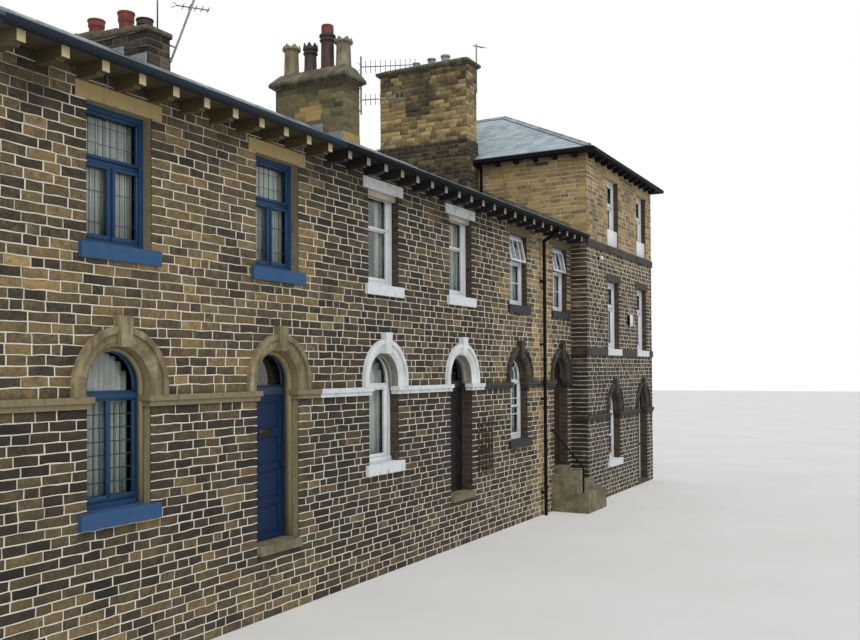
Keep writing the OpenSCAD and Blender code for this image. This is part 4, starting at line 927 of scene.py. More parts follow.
def chimney_pots():
    """Pots on the stacks: profiles turned about their axes, some with a flange and a crown of points."""
    red, buff, dark, small = Heap(), Heap(), Heap(), Heap()

    def seat(k, i):
        x, w, l, top, y0 = STACKS[k]
        out, thick, bed = CAPS[k]
        left = max(x - out, 0.0)
        return (left + x + w + out) / 2, y0 + l * POTS[k][i], top + thick + bed

    for k in (0, 1):
        for i, (h, lift) in enumerate(((0.18, 0.14), (0.24, 0.08), (0.15, -0.02))):
            r = 0.125 if i else 0.13
            profile = [
                (r - 0.012, -0.12), (r - 0.012, h * 0.2), (r - 0.002, h * 0.32), (r + 0.004, h * 0.36),
                (r + 0.004, h * 0.8)
            ]
            profile += [
                (r + 0.014, h * 0.84), (r + 0.018, h * 0.92), (r + 0.012, h), (r - 0.012, h),
                (r - 0.02, h * 0.8), (r - 0.02, 0.0)
            ]
            x, y, z = seat(k, i)
            lathe(dark if i == 2 else red, x, y, z + lift, profile, tone=0.3 + 0.2 * i)
    for i, h in ((0, 0.70), (3, 0.62)):
        profile = [
            (0.172, -0.1, 0), (0.170, 0.03, 0), (0.163, 0.06, 0), (0.150, h * 0.74, 0), (0.158, h * 0.77, 0),
            (0.190, h * 0.81, 0)
        ]
        profile += [
            (0.200, h * 0.83, 0), (0.200, h * 0.87, 0), (0.172, h * 0.885, 0.9), (0.160, h * 0.885, 0.9),
            (0.12, h * 0.86, 0.2), (0.115, 0, 0)
        ]
        lathe(buff, *seat(2, i), profile, turns=36, teeth=6, tooth_h=0.085, tone=0.3 + 0.1 * i)
    h = 0.68
    profile = [
        (0.150, -0.08, 0), (0.148, 0.03, 0), (0.136, 0.06, 0), (0.128, h * 0.56, 0), (0.155, h * 0.60, 0),
        (0.160, h * 0.63, 0), (0.138, h * 0.66, 0)
    ]
    profile += [
        (0.138, h * 0.70, 0), (0.162, h * 0.73, 0), (0.165, h * 0.77, 0), (0.150, h * 0.80, 0.9),
        (0.138, h * 0.80, 0.9), (0.11, h * 0.7, 0), (0.105, 0, 0)
    ]
    lathe(dark, *seat(2, 1), profile, turns=36, teeth=7, tooth_h=0.13, tone=0.5)
    h = 0.96
    profile = [
        (0.158, -0.06, 0), (0.156, 0.03, 0), (0.142, 0.06, 0), (0.136, h * 0.60, 0), (0.150, h * 0.62, 0),
        (0.172, h * 0.655, 0), (0.150, h * 0.69, 0)
    ]
    profile += [
        (0.150, h * 0.71, 0), (0.178, h * 0.74, 0), (0.172, h * 0.78, 0), (0.130, h * 0.80, 0),
        (0.125, h * 0.82, 0), (0.10, h * 0.82, 0), (0.10, 0, 0)
    ]
    lathe(dark, *seat(2, 2), profile, turns=32, tone=0.3)
    x, y, z = seat(2, 2)
    profile = [
        (0.122, h * 0.79), (0.125, h * 0.81), (0.118, h * 0.97), (0.124, h * 0.985), (0.122, h), (0.10, h),
        (0.098, h * 0.8)
    ]
    lathe(red, x, y, z, profile, turns=32, tone=0.4)
    for a in np.radians(np.arange(0, 360, 24)):
        c, t = 0.123 * math.cos(a), 0.123 * math.sin(a)
        rod(red, (x + c, y + t, z + h * 0.81), (x + c * 0.97, y + t * 0.97, z + h * 0.985), 0.011, 8, 0.4)
    for i, (r, h) in enumerate(((0.085, 0.12), (0.095, 0.16), (0.105, 0.18))):
        profile = [
            (r + 0.02, -0.02), (r + 0.01, 0.03), (r, 0.05), (r, h * 0.7), (r + 0.02, h * 0.75),
            (r + 0.022, h * 0.92), (r + 0.01, h), (r - 0.02, h), (r - 0.02, 0)
        ]
        lathe(small, *seat(3, i), profile, tone=0.4)
    first = piece("pots_red", red, "red_fired_clay", smooth=35)
    piece("pots_buff", buff, "buff_fireclay", smooth=35)
    piece("pots_dark", dark, "smoked_clay", smooth=35)
    piece("pots_small", small, "grey_fireclay", smooth=35)
    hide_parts("chimney_pots")


def aerial_arrays():
    """Television aerials on the poles: booms with short rods across them, upright or level."""
    heap = Heap()
    up, along = np.array([0, 0, 1.0]), np.array([0.48, -0.877, 0.0])

    def pole(k, drop, height, lean=0.0):
        x, w, _, top, front = STACKS[k]
        return np.array([x + w + CAPS[k][0] + 0.05 + lean * height, front + 0.06, top - drop + height])

    def array(c, d, e, start, end, count, half, back=0.0):
        rod(heap, c + d * start, c + d * end, 0.010)
        for t in np.linspace(start + 0.12, end - 0.02, count):
            rod(heap, c + d * t - e * half, c + d * t + e * half, 0.0075, 6)
        for a in (-1, 1):
            if back:
                rod(heap, c + d * start + e * a * 0.05, c + d * (start - 0.06) + e * a * back, 0.0055, 6)

    array(pole(2, 0.6, 1.02), along + up * 0.04, up, -0.02, 1.18, 11, 0.13, 0.1)
    array(pole(2, 0.6, 0.31), along + up * 0.05, up, -0.02, 0.95, 9, 0.12, 0.1)
    array(pole(3, 0.6, 1.2), np.array([0.9, -0.43, 0.03]), along, -0.1, 0.25, 3, 0.09)
    array(
        pole(1, 0.33, 1.05, 0.45), np.array([0.8, -0.6, 0.0]), np.array([0.6, 0.8, 0.0]), -0.25, 0.3, 5, 0.12,
        0.12
    )
    x, w, _, top, front = STACKS[1]
    foot = np.array([x + w / 2 + 0.03, front + 0.06, top + 0.1])
    rod(heap, foot, foot + up * 0.95, 0.013)
    array(foot + up * 0.85, along, np.array([0.877, 0.48, 0.0]), -0.3, 0.25, 6, 0.14, 0.1)
    piece("aerial_arrays", heap, "galvanised_tube")


# Joinery


def upper_sashes(white, blue, board, opened, panes):
    """Sashes of the upper windows, by house, in front of the panes."""
    size = bpy.context.scene.row_sizes
    w, b = size.stile, size.bar
    foot, head = UP_SILL + 0.06, UP_HEAD - 0.06
    for x in (WINDOWS[0], DOORS[0]):
        t0, t1 = 5.405, 5.485
        bars(
            blue, [(x - SASH_HALF, x + SASH_HALF, t0, t1), (x - 0.03, x + 0.03, foot, t0)], FRAME_Y + 0.03,
            FRAME_Y + 0.068
        )
        ring(blue, x - SASH_HALF, x + SASH_HALF, t1 - 0.012, head, w, FRAME_Y + 0.008, FRAME_Y + 0.05)
        for a, c in ((x - SASH_HALF, x - 0.022), (x + 0.022, x + SASH_HALF)):
            ring(blue, a, c, foot, t0 + 0.012, w, FRAME_Y + 0.008, FRAME_Y + 0.05, 0.06)
    for x in (WINDOWS[1], DOORS[1]):
        m = MEETING
        ring(white, x - SASH_HALF, x + SASH_HALF, m - 0.02, head, 0.042, FRAME_Y + 0.006, FRAME_Y + 0.036)
        ring(
            white, x - SASH_HALF, x + SASH_HALF, foot, m + 0.02, 0.062, FRAME_Y + 0.036, FRAME_Y + 0.067,
            0.075
        )
        bars(white, [(x + 0.30, x + SASH_HALF, foot, head)], FRAME_Y + 0.012, FRAME_Y + 0.06)
        boxes(
            board, (x - 0.445, 0.035, UP_HEAD - 0.098), (x + 0.445, FRAME_Y + 0.002, UP_HEAD - 0.003), 0.006
        )
    for x in (WINDOWS[2], DOORS[2]):
        m = MEETING
        bars(white, [(x - SASH_HALF, x + SASH_HALF, m - 0.03, m + 0.03)], FRAME_Y + 0.01, FRAME_Y + 0.068)
        ring(white, x - SASH_HALF, x + SASH_HALF, foot, m - 0.02, w, FRAME_Y + 0.014, FRAME_Y + 0.06, 0.06)
        mid = (foot + m) / 2
        bars(
            white, [(x - b / 2, x + b / 2, foot, m), (x - 0.36, x + 0.36, mid - b / 2, mid + b / 2)],
            FRAME_Y + 0.02, FRAME_Y + 0.055
        )
        light, pane = Heap(), Heap()
        ring(light, x - 0.385, x + 0.385, m + 0.005, head - 0.005, 0.042, FRAME_Y - 0.05, FRAME_Y - 0.012)
        for u in (-0.13, 0.13):
            bars(
                light, [(x + u - b / 2, x + u + b / 2, m + 0.04, head - 0.04)], FRAME_Y - 0.044,
                FRAME_Y - 0.016
            )
        boxes(pane, (x - 0.35, FRAME_Y - 0.033, m + 0.04), (x + 0.35, FRAME_Y - 0.029, head - 0.04), 0.001)
        a = math.radians(-11)
        turn = np.array([[1, 0, 0], [0, math.cos(a), math.sin(a)], [0, -math.sin(a), math.cos(a)]])
        hinge = np.array([x, FRAME_Y - 0.03, head])
        for part, whole in ((light, opened), (pane, panes)):
            for p in part.points:
                p[:] = (p - hinge) @ turn + hinge
            whole.take(part)


def arch_sash(heap, x, y, spring, foot, kind):
    """Sashes of an arched ground-floor window: a curved head rail, a lower sash, and bars by house."""
    size = bpy.context.scene.row_sizes
    w, b = size.stile, size.bar
    r = SASH_R
    c = 0.02 if kind == "boxed" else w
    section = [(-c, 0), (0, 0), (0, 0.035), (-c, 0.035)]
    sweep(heap, stilted(x, spring + 0.03, y + 0.01, r), np.array(section)[::-1])
    bars(heap, [(x - r + 0.01, x + r - 0.01, spring + 0.02, spring + 0.02 + w)], y + 0.01, y + 0.045)
    ring(heap, x - r, x + r, foot + 0.06, spring - 0.02, w, y + 0.012, y + 0.05, 0.07)
    if kind == "barred":
        for z in (2.27, 2.60):
            bars(heap, [(x - r + w, x + r - w, z - b / 2, z + b / 2)], y + 0.018, y + 0.046)
        bars(heap, [(x - r + w, x + r - w, 2.415, 2.465)], y + 0.008, y + 0.05)
        bars(heap, [(x - b / 2, x + b / 2, foot + 0.1, spring + STILT + r - 0.02)], y + 0.016, y + 0.048)
        thin = [(-b, 0), (0, 0), (0, 0.03), (-b, 0.03)]
        sweep(heap, stilted(x, spring + 0.03, y + 0.012, 0.2, n=17), np.array(thin)[::-1])
        for a in (45, 135):
            c, s = math.cos(math.radians(a)), math.sin(math.radians(a))
            middle, ray = np.array([x, y + 0.03, spring + 0.03 + STILT]), np.array([c, 0, s])
            rod(heap, middle + 0.2 * ray, middle + 0.35 * ray, b / 2, 6)
    if kind == "pair":
        bars(heap, [(x - 0.028, x + 0.028, foot + 0.1, spring - 0.04)], y + 0.008, y + 0.052)
    if kind == "boxed":
        bars(
            heap,
            [
                (x + 0.27, x + 0.38, foot + 0.06, spring - 0.02),
                (x - 0.38, x - 0.30, foot + 0.06, spring - 0.02)
            ],
            y - 0.004, y + 0.05
        )
        bars(heap, [(x - 0.40, x + 0.40, foot + 0.002, foot + 0.075)], y - 0.05, y + 0.01)
    if kind == "rail":
        bars(
            heap, [(x - r + w, x + r - w, (foot + spring) / 2 - 0.03, (foot + spring) / 2 + 0.03)], y + 0.008,
            y + 0.052
        )


def window_sashes():
    """Sashes, glazing bars and boards of every window."""
    white, blue, board, opened, panes = Heap(), Heap(), Heap(), Heap(), Heap()
    upper_sashes(white, blue, board, opened, panes)
    arch_sash(blue, WINDOWS[0], ARCHED_Y, SPRING, LOW_SILL, "pair")
    arch_sash(white, WINDOWS[1], ARCHED_Y, SPRING, LOW_SILL, "boxed")
    arch_sash(white, WINDOWS[2], ARCHED_Y, SPRING, LOW_SILL, "barred")
    arch_sash(white, PAV_AXES[0], ARCHED_Y + PAV_FRONT, PAV_SPRING, PAV_SILLS[0], "rail")
    for x in PAV_AXES:
        for k in (1, 2):
            y = PAV_FRONT + FRAME_Y
            foot, head = PAV_SILLS[k] + 0.06, PAV_HEADS[k] - 0.06
            m = head - (head - foot) * 0.36
            ring(white, x - SASH_HALF, x + SASH_HALF, m - 0.025, head, 0.10, y + 0.006, y + 0.036)
            ring(white, x - SASH_HALF, x + SASH_HALF, foot, m + 0.025, 0.12, y + 0.036, y + 0.067, 0.10)
        boxes(
            white, (x - 0.444, PAV_FRONT + 0.02, PAV_SILLS[2] + 0.002),
            (x + 0.444, PAV_FRONT + 0.045, PAV_SILLS[2] + 0.45), 0.004
        )
    rear = Heap()
    at_back = [(x, (LOW_SILL, UP_SILL), (LOW_SILL + 1.48, UP_HEAD), DEPTH) for x in WINDOWS + DOORS]
    at_back += [(x, PAV_SILLS, PAV_HEADS, PAV_REAR) for x in PAV_AXES]
    for x, sills, heads, back in at_back:
        for z0, z1 in zip(sills, heads):
            foot, head = z0 + 0.06, z1 - 0.06
            m = (foot + head) / 2 + 0.1
            y = back - FRAME_Y
            ring(rear, x - SASH_HALF, x + SASH_HALF, m - 0.025, head, 0.042, y - 0.036, y - 0.006)
            ring(rear, x - SASH_HALF, x + SASH_HALF, foot, m + 0.025, 0.05, y - 0.067, y - 0.036, 0.075)
    piece("white_sashes", white, "white_gloss_paint")
    piece("blue_sashes", blue, "blue_gloss_paint")
    piece("head_boards", board, "stained_board")
    piece("open_lights", opened, "white_gloss_paint")
    piece("open_light_panes", panes, "window_glass")
    piece("rear_sashes", rear, "white_gloss_paint")


def slats(heap, x0, x1, z0, z1, y, axis=None):
    """Adds upright slats between x0 and x1, each turned about its own axis.

    Under an arch each slat ends below the half circle of the sash about the axis, raised by the stilt.
    """
    width, thick, turn = 0.085, 0.003, math.radians(-38)
    c, t, h, e = math.cos(turn), math.sin(turn), width / 2, thick / 2
    section = [
        (-h * c + e * t, -h * t - e * c), (h * c + e * t, h * t - e * c), (h * c - e * t, h * t + e * c),
        (-h * c - e * t, -h * t + e * c)
    ]
    for x in np.arange(x0 + h, x1 - h + 0.001, width * 0.95):
        rise = 0.0 if axis is None else STILT + math.sqrt(max(SASH_R**2 - (abs(x - axis) + 0.03) ** 2, 0.0))
        sweep(heap, [(x, y, z0), (x, y, z1 + rise)], section)


def window_blinds():
    """Blinds of upright slats behind the panes, drawn right across or to the sides, and the lead of the
    leaded lights."""
    blind, lead = Heap(), Heap()
    y = BLIND_Y
    for x in (WINDOWS[0], DOORS[0]):
        slats(blind, x - 0.42, x + 0.42, UP_SILL + 0.04, UP_HEAD - 0.04, y)
        t = 5.485
        uprights = [(u, t + 0.03, UP_HEAD - 0.10) for u in np.linspace(-0.30, 0.30, 7)]
        uprights += [(m + u, UP_SILL + 0.115, t - 0.1) for m in (-0.206, 0.206) for u in (-0.075, 0.0, 0.075)]
        bars(
            lead, [(x + u - 0.004, x + u + 0.004, a, b) for u, a, b in uprights], FRAME_Y + 0.028,
            FRAME_Y + 0.034, 0.001
        )
        level = [
            (x + m - 0.14, x + m + 0.14, z - 0.004, z + 0.004) for m in (-0.206, 0.206) for z in (5.13, 4.80)
        ]
        level += [(x - 0.34, x + 0.34, z - 0.003, z + 0.003) for z in (5.64, 5.83)]
        bars(lead, level, FRAME_Y + 0.027, FRAME_Y + 0.033, 0.001)
    x = WINDOWS[0]
    slats(blind, x - 0.38, x + 0.38, LOW_SILL + 0.04, SPRING, y + 0.04, axis=x)
    grid = [
        (x + u - 0.006, x + u + 0.006, LOW_SILL + 0.14, SPRING - 0.07)
        for u in (-0.27, -0.18, -0.10, 0.10, 0.18, 0.27)
    ]
    grid += [
        (x + m - 0.155, x + m + 0.155, z - 0.006, z + 0.006) for m in (-0.184, 0.184)
        for z in np.linspace(LOW_SILL + 0.27, SPRING - 0.2, 6)
    ]
    bars(lead, grid, ARCHED_Y + 0.034, ARCHED_Y + 0.042, 0.001)
    for x in (WINDOWS[1], DOORS[1]):
        slats(blind, x - 0.42, x - 0.14, UP_SILL + 0.04, UP_HEAD - 0.04, y)
        slats(blind, x + 0.16, x + 0.42, UP_SILL + 0.04, UP_HEAD - 0.04, y)
    for x in WINDOWS[1:]:
        slats(blind, x - 0.38, x + 0.38, LOW_SILL + 0.04, SPRING, y + 0.04, axis=x)
    for x in (WINDOWS[2], DOORS[2]):
        slats(blind, x - 0.42, x + 0.42, UP_SILL + 0.04, 5.45, y)
    for x in PAV_AXES:
        for k in (1, 2):
            slats(blind, x - 0.42, x + 0.42, PAV_SILLS[k] + 0.04, PAV_HEADS[k] - 0.04, PAV_FRONT + y - 0.015)
    for x, z0, z1 in [(x, UP_SILL, UP_HEAD) for x in WINDOWS[:2] + DOORS[:2]]:
        boxes(blind, (x - 0.43, y - 0.05, z1 - 0.05), (x + 0.43, y + 0.05, z1 - 0.01), 0.004)
        boxes(blind, (x - 0.42, y - 0.012, z0 + 0.015), (x + 0.42, y + 0.012, z0 + 0.04), 0.003)
    piece("window_blinds", blind, "woven_blind")
    piece("leaded_lights", lead, "window_lead")


def reveal_linings():
    """Dressed stone inside the arched openings and the first house's upper windows.

    Thin linings of jambs and heads, and in each arched opening an inner order, a square section carried round
    the arch.
    """
    heap = Heap()
    r, n = ARCH_R - 0.003, 25
    a = np.radians(np.linspace(0, 180, n))
    arched = [
        (WINDOWS[0], 0.0, ARCHED_Y - 0.004, LOW_SILL, SPRING),
        (DOORS[0], 0.0, DOOR_Y - 0.004, FLOOR + 0.002, SPRING)
    ]
    arched += [(x, 0.0, ARCHED_Y - 0.004, SPRING, SPRING) for x in WINDOWS[1:]]
    arched += [(x, 0.0, DOOR_Y - 0.004, SPRING, SPRING) for x in DOORS[1:]]
    arched += [(x, PAV_FRONT, ARCHED_Y - 0.004, PAV_SPRING, PAV_SPRING) for x in PAV_AXES]
    for x, y0, deep, foot, spring in arched:
        xs = np.concatenate([[x + r], x + r * np.cos(a), [x - r]])
        zs = np.concatenate([[foot], spring + STILT + r * np.sin(a), [foot]])
        shell = np.stack([np.stack([xs, np.full(n + 2, y0 + d), zs], 1) for d in (0.002, deep)])
        heap.add(shell, grid_faces(1, 2, n + 2)[:, ::-1])
        order = np.array([(-0.05, 0), (0, 0), (0, deep - 0.098), (-0.05, deep - 0.098)])[::-1]
        sweep(heap, stilted(x, spring, y0 + 0.097, 0.4365, foot + 0.002), order)
    for x in (WINDOWS[0], DOORS[0]):
        xs = np.array([x + 0.447, x + 0.447, x - 0.447, x - 0.447])
        zs = np.array([UP_SILL, UP_HEAD - 0.002, UP_HEAD - 0.002, UP_SILL])
        shell = np.stack([np.stack([xs, np.full(4, d), zs], 1) for d in (0.003, FRAME_Y - 0.002)])
        heap.add(shell, grid_faces(1, 2, 4)[:, ::-1])
    piece("reveal_linings", heap, "lining_stone")


def door_fittings():
    """Bolection mouldings and letter plates on the leaves, and rings round the fanlights."""
    foot, leaf_w, leaf_h, rail = FLOOR + 0.007, 0.766, 1.946, 0.10
    panel_h = (leaf_h - 5 * rail) / 4
    for x, house, colour in zip(DOORS, "abc", ("blue", "black", "brown")):
        mould, brass = Heap(), Heap()
        for n in range(4):
            z0 = foot + rail + n * (panel_h + rail)
            x0, x1 = x - leaf_w / 2 + rail, x + leaf_w / 2 - rail
            ring(
                mould, x0 - 0.012, x1 + 0.012, z0 - 0.012, z0 + panel_h + 0.012, 0.03, DOOR_Y + 0.0075,
                DOOR_Y + 0.022
            )
        z = foot + rail + 3 * (panel_h + rail) - rail / 2
        boxes(brass, (x - 0.13, DOOR_Y + 0.0065, z - 0.038), (x + 0.13, DOOR_Y + 0.0155, z + 0.038), 0.003)
        boxes(brass, (x - 0.11, DOOR_Y + 0.0045, z - 0.022), (x + 0.11, DOOR_Y + 0.0085, z + 0.020), 0.002)
        slot, body = colour + "_door", "leaf_" + house
        piece("door_mouldings_" + house, mould, slot + "_paint", body)
        piece("door_brass_" + house, brass, "tarnished_brass", body)
    ringed = Heap()
    for x, y, z in [(x, DOOR_Y, SPRING) for x in DOORS] + [(PAV_AXES[1], DOOR_Y + PAV_FRONT, PAV_SPRING)]:
        section = np.array([(-0.03, 0), (0, 0), (0, 0.03), (-0.03, 0.03)])[::-1]
        sweep(ringed, stilted(x, z + 0.04, y + 0.02, 0.385), section)
        bars(ringed, [(x - 0.37, x + 0.37, z + 0.04, z + 0.07)], y + 0.02, y + 0.05)
    piece("fanlight_rings", ringed, "door_frame_paint")


def wall_fittings():
    """Pipe sockets, a short pipe from the pavilion's gutter to the row's roof, a trellis, a bell box and a
    lamp."""
    iron, wood, shell, dark = Heap(), Heap(), Heap(), Heap()
    x, y = 13.78, -0.103
    for z in (1.6, 3.4, 5.1):
        rod(iron, (x, y, z), (x, y, z + 0.07), 0.047, 20)
    drop = [
        (PAV0 - 0.25, 2.33, 8.43), (PAV0 - 0.045, 2.33, 8.27), (PAV0 - 0.045, 2.33, 7.72),
        (PAV0 - 0.1, 2.31, 7.68)
    ]
    for p, q in zip(drop[:-1], drop[1:]):
        rod(iron, p, q, 0.034, 16)
    t0, t1 = 10.55, 11.15
    for u in np.linspace(t0, t1, 5):
        boxes(wood, (u - 0.014, -0.045, 1.25), (u + 0.014, -0.030, 2.25), 0.002)
    for z in np.linspace(1.35, 2.18, 6):
        boxes(wood, (t0 - 0.02, -0.029, z - 0.014), (t1 + 0.02, -0.014, z + 0.014), 0.002)
    for z in (1.35, 2.18):
        for u in (t0, t1):
            boxes(wood, (u - 0.015, -0.03, z - 0.015), (u + 0.015, 0.0, z + 0.015), 0.002)
    f = PAV_FRONT
    boxes(shell, (19.02, f - 0.085, 4.35), (19.28, f - 0.004, 4.67), 0.02)
    boxes(dark, (19.008, f - 0.08, 4.36), (19.021, f - 0.004, 4.66), 0.003)
    boxes(shell, (16.55, f - 0.13, 5.90), (16.65, f - 0.05, 5.99), 0.015)
    boxes(dark, (16.575, f - 0.06, 5.91), (16.625, f - 0.004, 5.97), 0.004)
    piece("pipe_sockets", iron, "black_iron_paint")
    piece("trellis", wood, "stained_larch")
    piece("bell_box_and_lamp", shell, "white_gloss_paint")
    piece("fitting_backs", dark, "black_iron_paint")


# Finishes


def fill(tree, node, inputs):
    """Fills a node's inputs, by name or number, from sockets or values."""
    for key, value in inputs.items():
        if isinstance(value, bpy.types.NodeSocket):
            tree.links.new(value, node.inputs[key])
        else:
            node.inputs[key].default_value = value


def add(tree, kind, inputs=None, out=0, stops=(), **settings):
    """Adds a node with its settings, its ramp's stops and its inputs, and gives one of its outputs if it has
    any."""
    node = tree.nodes.new("ShaderNode" + kind)
    for key, value in settings.items():
        setattr(node, key, value)
    for _ in stops[2:]:
        node.color_ramp.elements.new(0.5)
    for element, (at, code) in zip(node.color_ramp.elements if stops else (), stops):
        element.position = at
        element.color = linear(code)
    fill(tree, node, inputs or {})
    return node.outputs[out] if node.outputs else node


def blank(name):
    """A new finish: its node tree, its shader and the place of each point in metres."""
    material = FINISHES[name] = bpy.data.materials.new(name)
    material.use_nodes = True
    tree = material.node_tree
    tree.nodes.clear()
    surface = add(tree, "BsdfPrincipled")
    add(tree, "OutputMaterial", {"Surface": surface})
    return tree, surface.node, add(tree, "TexCoord", out="Object")


def total(tree, base, *terms):
    """The sum of base and of each term's value times its weight."""
    for value, weight in terms:
        base = add(tree, "Math", {0: value, 1: weight, 2: base}, operation="MULTIPLY_ADD")
    return base


def patches(tree, place, size, detail=3.0, rough=0.6, fall=1.0):
    """Cloudy patches about size metres across, drawn out upwards where fall is less than one."""
    if fall < 1:
        place = add(tree, "Mapping", {"Vector": place, "Scale": (1.0, 1.0, fall)})
    return add(tree, "TexNoise", {"Vector": place, "Scale": 1 / size, "Detail": detail, "Roughness": rough})


def stained(tree, place, colour, size, low, high, share, tint, detail=5.0, fall=1.0):
    """A colour tinted in patches, from nought where they are low to share where they are high, and their
    mask."""
    cloud = patches(tree, place, size, detail, fall=fall)
    mask = add(tree, "ValToRGB", {0: cloud}, stops=[(low, "#000000"), (high, "#ffffff")])
    amount = add(tree, "Math", {0: mask, 1: share}, operation="MULTIPLY")
    return add(tree, "Mix", {0: amount, 6: colour, 7: linear(tint)}, 2, data_type="RGBA"), mask


def gritty(tree, place, colour, share, size=0.005, dark="#55504a", pale="#c4beb2"):
    """A colour overlaid with dark and pale grains about size metres across, and the grains.

    Real grit is about 1 mm across. It is drawn coarser, because it wouldn't show otherwise.
    """
    grain = patches(tree, place, size, 2, 0.7)
    spread = add(tree, "ValToRGB", {0: grain}, stops=[(0.35, dark), (0.65, pale)])
    mixed = {0: share, 6: colour, 7: spread}
    return add(tree, "Mix", mixed, 2, data_type="RGBA", blend_type="OVERLAY"), grain


def dress(tree, shader, colour, rough, height, depth, strength=0.8):
    """Gives the shader its colour, its roughness and a relief of depth metres from height."""
    relief = add(tree, "Bump", {"Height": height, "Distance": depth, "Strength": strength})
    fill(tree, shader, {"Base Color": colour, "Roughness": rough, "Normal": relief})


def squared_stone(name, stops, dirt="#110f0d", spread=0.62):
    """Stones faced with a hammer: each stone's own tone, mottled and tooled within it, blackened where soot
    settled and darkened at each stone's rim by painted shade along the joints."""
    tree, shader, place = blank(name)
    tone = add(tree, "Attribute", out="Fac", attribute_name="tone")
    soot = add(tree, "Attribute", out="Fac", attribute_name="soot")
    clouds = patches(tree, place, 0.10, 5, 0.7)
    strokes = patches(tree, place, 0.018, 2, fall=0.3)
    flecks = patches(tree, place, 0.03, 4, 0.75)
    shade = total(tree, -0.98, (strokes, 0.5), (clouds, 1.1), (flecks, 0.8), (tone, spread))
    colour = add(tree, "ValToRGB", {0: shade}, stops=stops)
    veil = total(tree, -0.03, (clouds, 0.6), (patches(tree, place, 0.45, 5), 1.3))
    # soot holds real soot and, at each stone's rim, painted shade; both blacken the colour here
    black = add(tree, "Math", {0: soot, 1: veil}, operation="MULTIPLY")
    black = add(tree, "Clamp", {"Value": black, "Min": 0.0, "Max": 0.9})
    colour = add(tree, "Mix", {0: black, 6: colour, 7: linear(dirt)}, 2, data_type="RGBA")
    colour, grain = gritty(tree, place, colour, 0.3, 0.006, "#48433c", "#c4bbab")
    pits = total(tree, strokes, (grain, 0.5), (patches(tree, place, 0.03, 4), 1.5))
    dress(tree, shader, colour, 0.9, pits, 0.006)


def plain_stone(name, stops, rough=0.85, deep=0.002, streaks=0.0):
    """Sawn, cast or rendered mineral: patches of tone, fine grit, and dark streaks where water runs down."""
    tree, shader, place = blank(name)
    colour = add(tree, "ValToRGB", {0: patches(tree, place, 0.25, 5)}, stops=stops)
    if streaks:
        colour, _ = stained(tree, place, colour, 0.07, 0.45, 0.7, streaks, "#1b1713", 3, 0.12)
    colour, grain = gritty(tree, place, colour, 0.25)
    dress(tree, shader, colour, rough, total(tree, patches(tree, place, 0.02), (grain, 0.4)), deep)


def walling(name):
    """The wall behind its facing, seen in the reveals: courses and stones of the real size with flush
    joints, darker than the facing as painted shade of the reveals."""
    tree, shader, place = blank(name)
    x, y, z = add(tree, "SeparateXYZ", {0: place}).node.outputs
    masonry = {
        "Vector": add(tree, "CombineXYZ", {0: total(tree, x, (y, 1.0)), 1: z}),
        # Stone and mortar colours darkened as painted shade of the reveals
        "Color1": linear("#4a4032"), "Color2": linear("#332b22"), "Mortar": linear("#5d5545"), "Scale": 1.0,
        "Mortar Size": 0.006, "Mortar Smooth": 0.3, "Brick Width": 0.27, "Row Height": 0.105,
    }
    cloud = patches(tree, place, 0.25, 4)
    veil = add(tree, "ValToRGB", {0: cloud}, stops=[(0.3, "#6b6257"), (0.7, "#b8ab92")])
    courses_seen = add(tree, "TexBrick", masonry)
    colour = add(tree, "Mix", {0: 0.5, 6: courses_seen, 7: veil}, 2, data_type="RGBA", blend_type="OVERLAY")
    dress(tree, shader, colour, 0.9, patches(tree, place, 0.02, 4), 0.004)


def gloss_paint(name, colour, wear="#57534a", rough=0.32, grime=0.35, shine=0.5):
    """Brushed gloss paint: faint brush lines along the grain, dirt in patches, duller where it has worn.

    The brush lines are drawn 6 mm wide, coarser than real ones, so that they show. shine is the specular
    level, lower for old paint that reflects little of the sky.
    """
    tree, shader, place = blank(name)
    colour = linear(colour) if isinstance(colour, str) else tuple(colour)
    colour, dirt = stained(tree, place, colour, 0.12, 0.5, 0.78, grime, wear)
    shader.inputs["Specular IOR Level"].default_value = shine
    brush = patches(tree, place, 0.006, 2, fall=0.1)
    dress(tree, shader, colour, total(tree, rough, (dirt, 0.3)), brush, 0.0006, 0.5)


def by_house(tree, place, tints):
    """A colour for each house, changing at the lines between the houses."""
    run = add(tree, "SeparateXYZ", {0: place})
    colour = linear(tints[0])
    for line, tint in zip((LINE_AB, LINE_BC), tints[1:]):
        past = add(tree, "Math", {0: run, 1: float(line + OFFSET[0])}, operation="GREATER_THAN")
        colour = add(tree, "Mix", {0: past, 6: colour, 7: linear(tint)}, 2, data_type="RGBA")
    return colour


def house_stone(name, tints, rough=0.75, streaks=0.35, wear="#6f6755"):
    """Stone dressings, bare or painted by house: worn to the stone in patches and streaked below."""
    tree, shader, place = blank(name)
    colour, _ = stained(tree, place, by_house(tree, place, tints), 0.11, 0.55, 0.72, 0.5, wear)
    colour, _ = stained(tree, place, colour, 0.06, 0.5, 0.75, streaks, "#2a251e", 3, 0.12)
    colour, grain = gritty(tree, place, colour, 0.2)
    dress(tree, shader, colour, rough, total(tree, patches(tree, place, 0.02), (grain, 0.4)), 0.002)


def slate_finish(name, stops, rough):
    """Riven slate, wet: each slate's own grey, fine ripples across it, pale bloom in patches."""
    tree, shader, place = blank(name)
    tone = add(tree, "Attribute", out="Fac", attribute_name="tone")
    shade = total(tree, 0.0, (patches(tree, place, 0.5, 4), 0.35), (tone, 0.8))
    colour = add(tree, "ValToRGB", {0: shade}, stops=stops)
    colour, bloom = stained(tree, place, colour, 0.06, 0.55, 0.75, 0.3, "#9aa197")
    dress(tree, shader, colour, total(tree, rough, (bloom, 0.25)), patches(tree, place, 0.03, 4), 0.002)


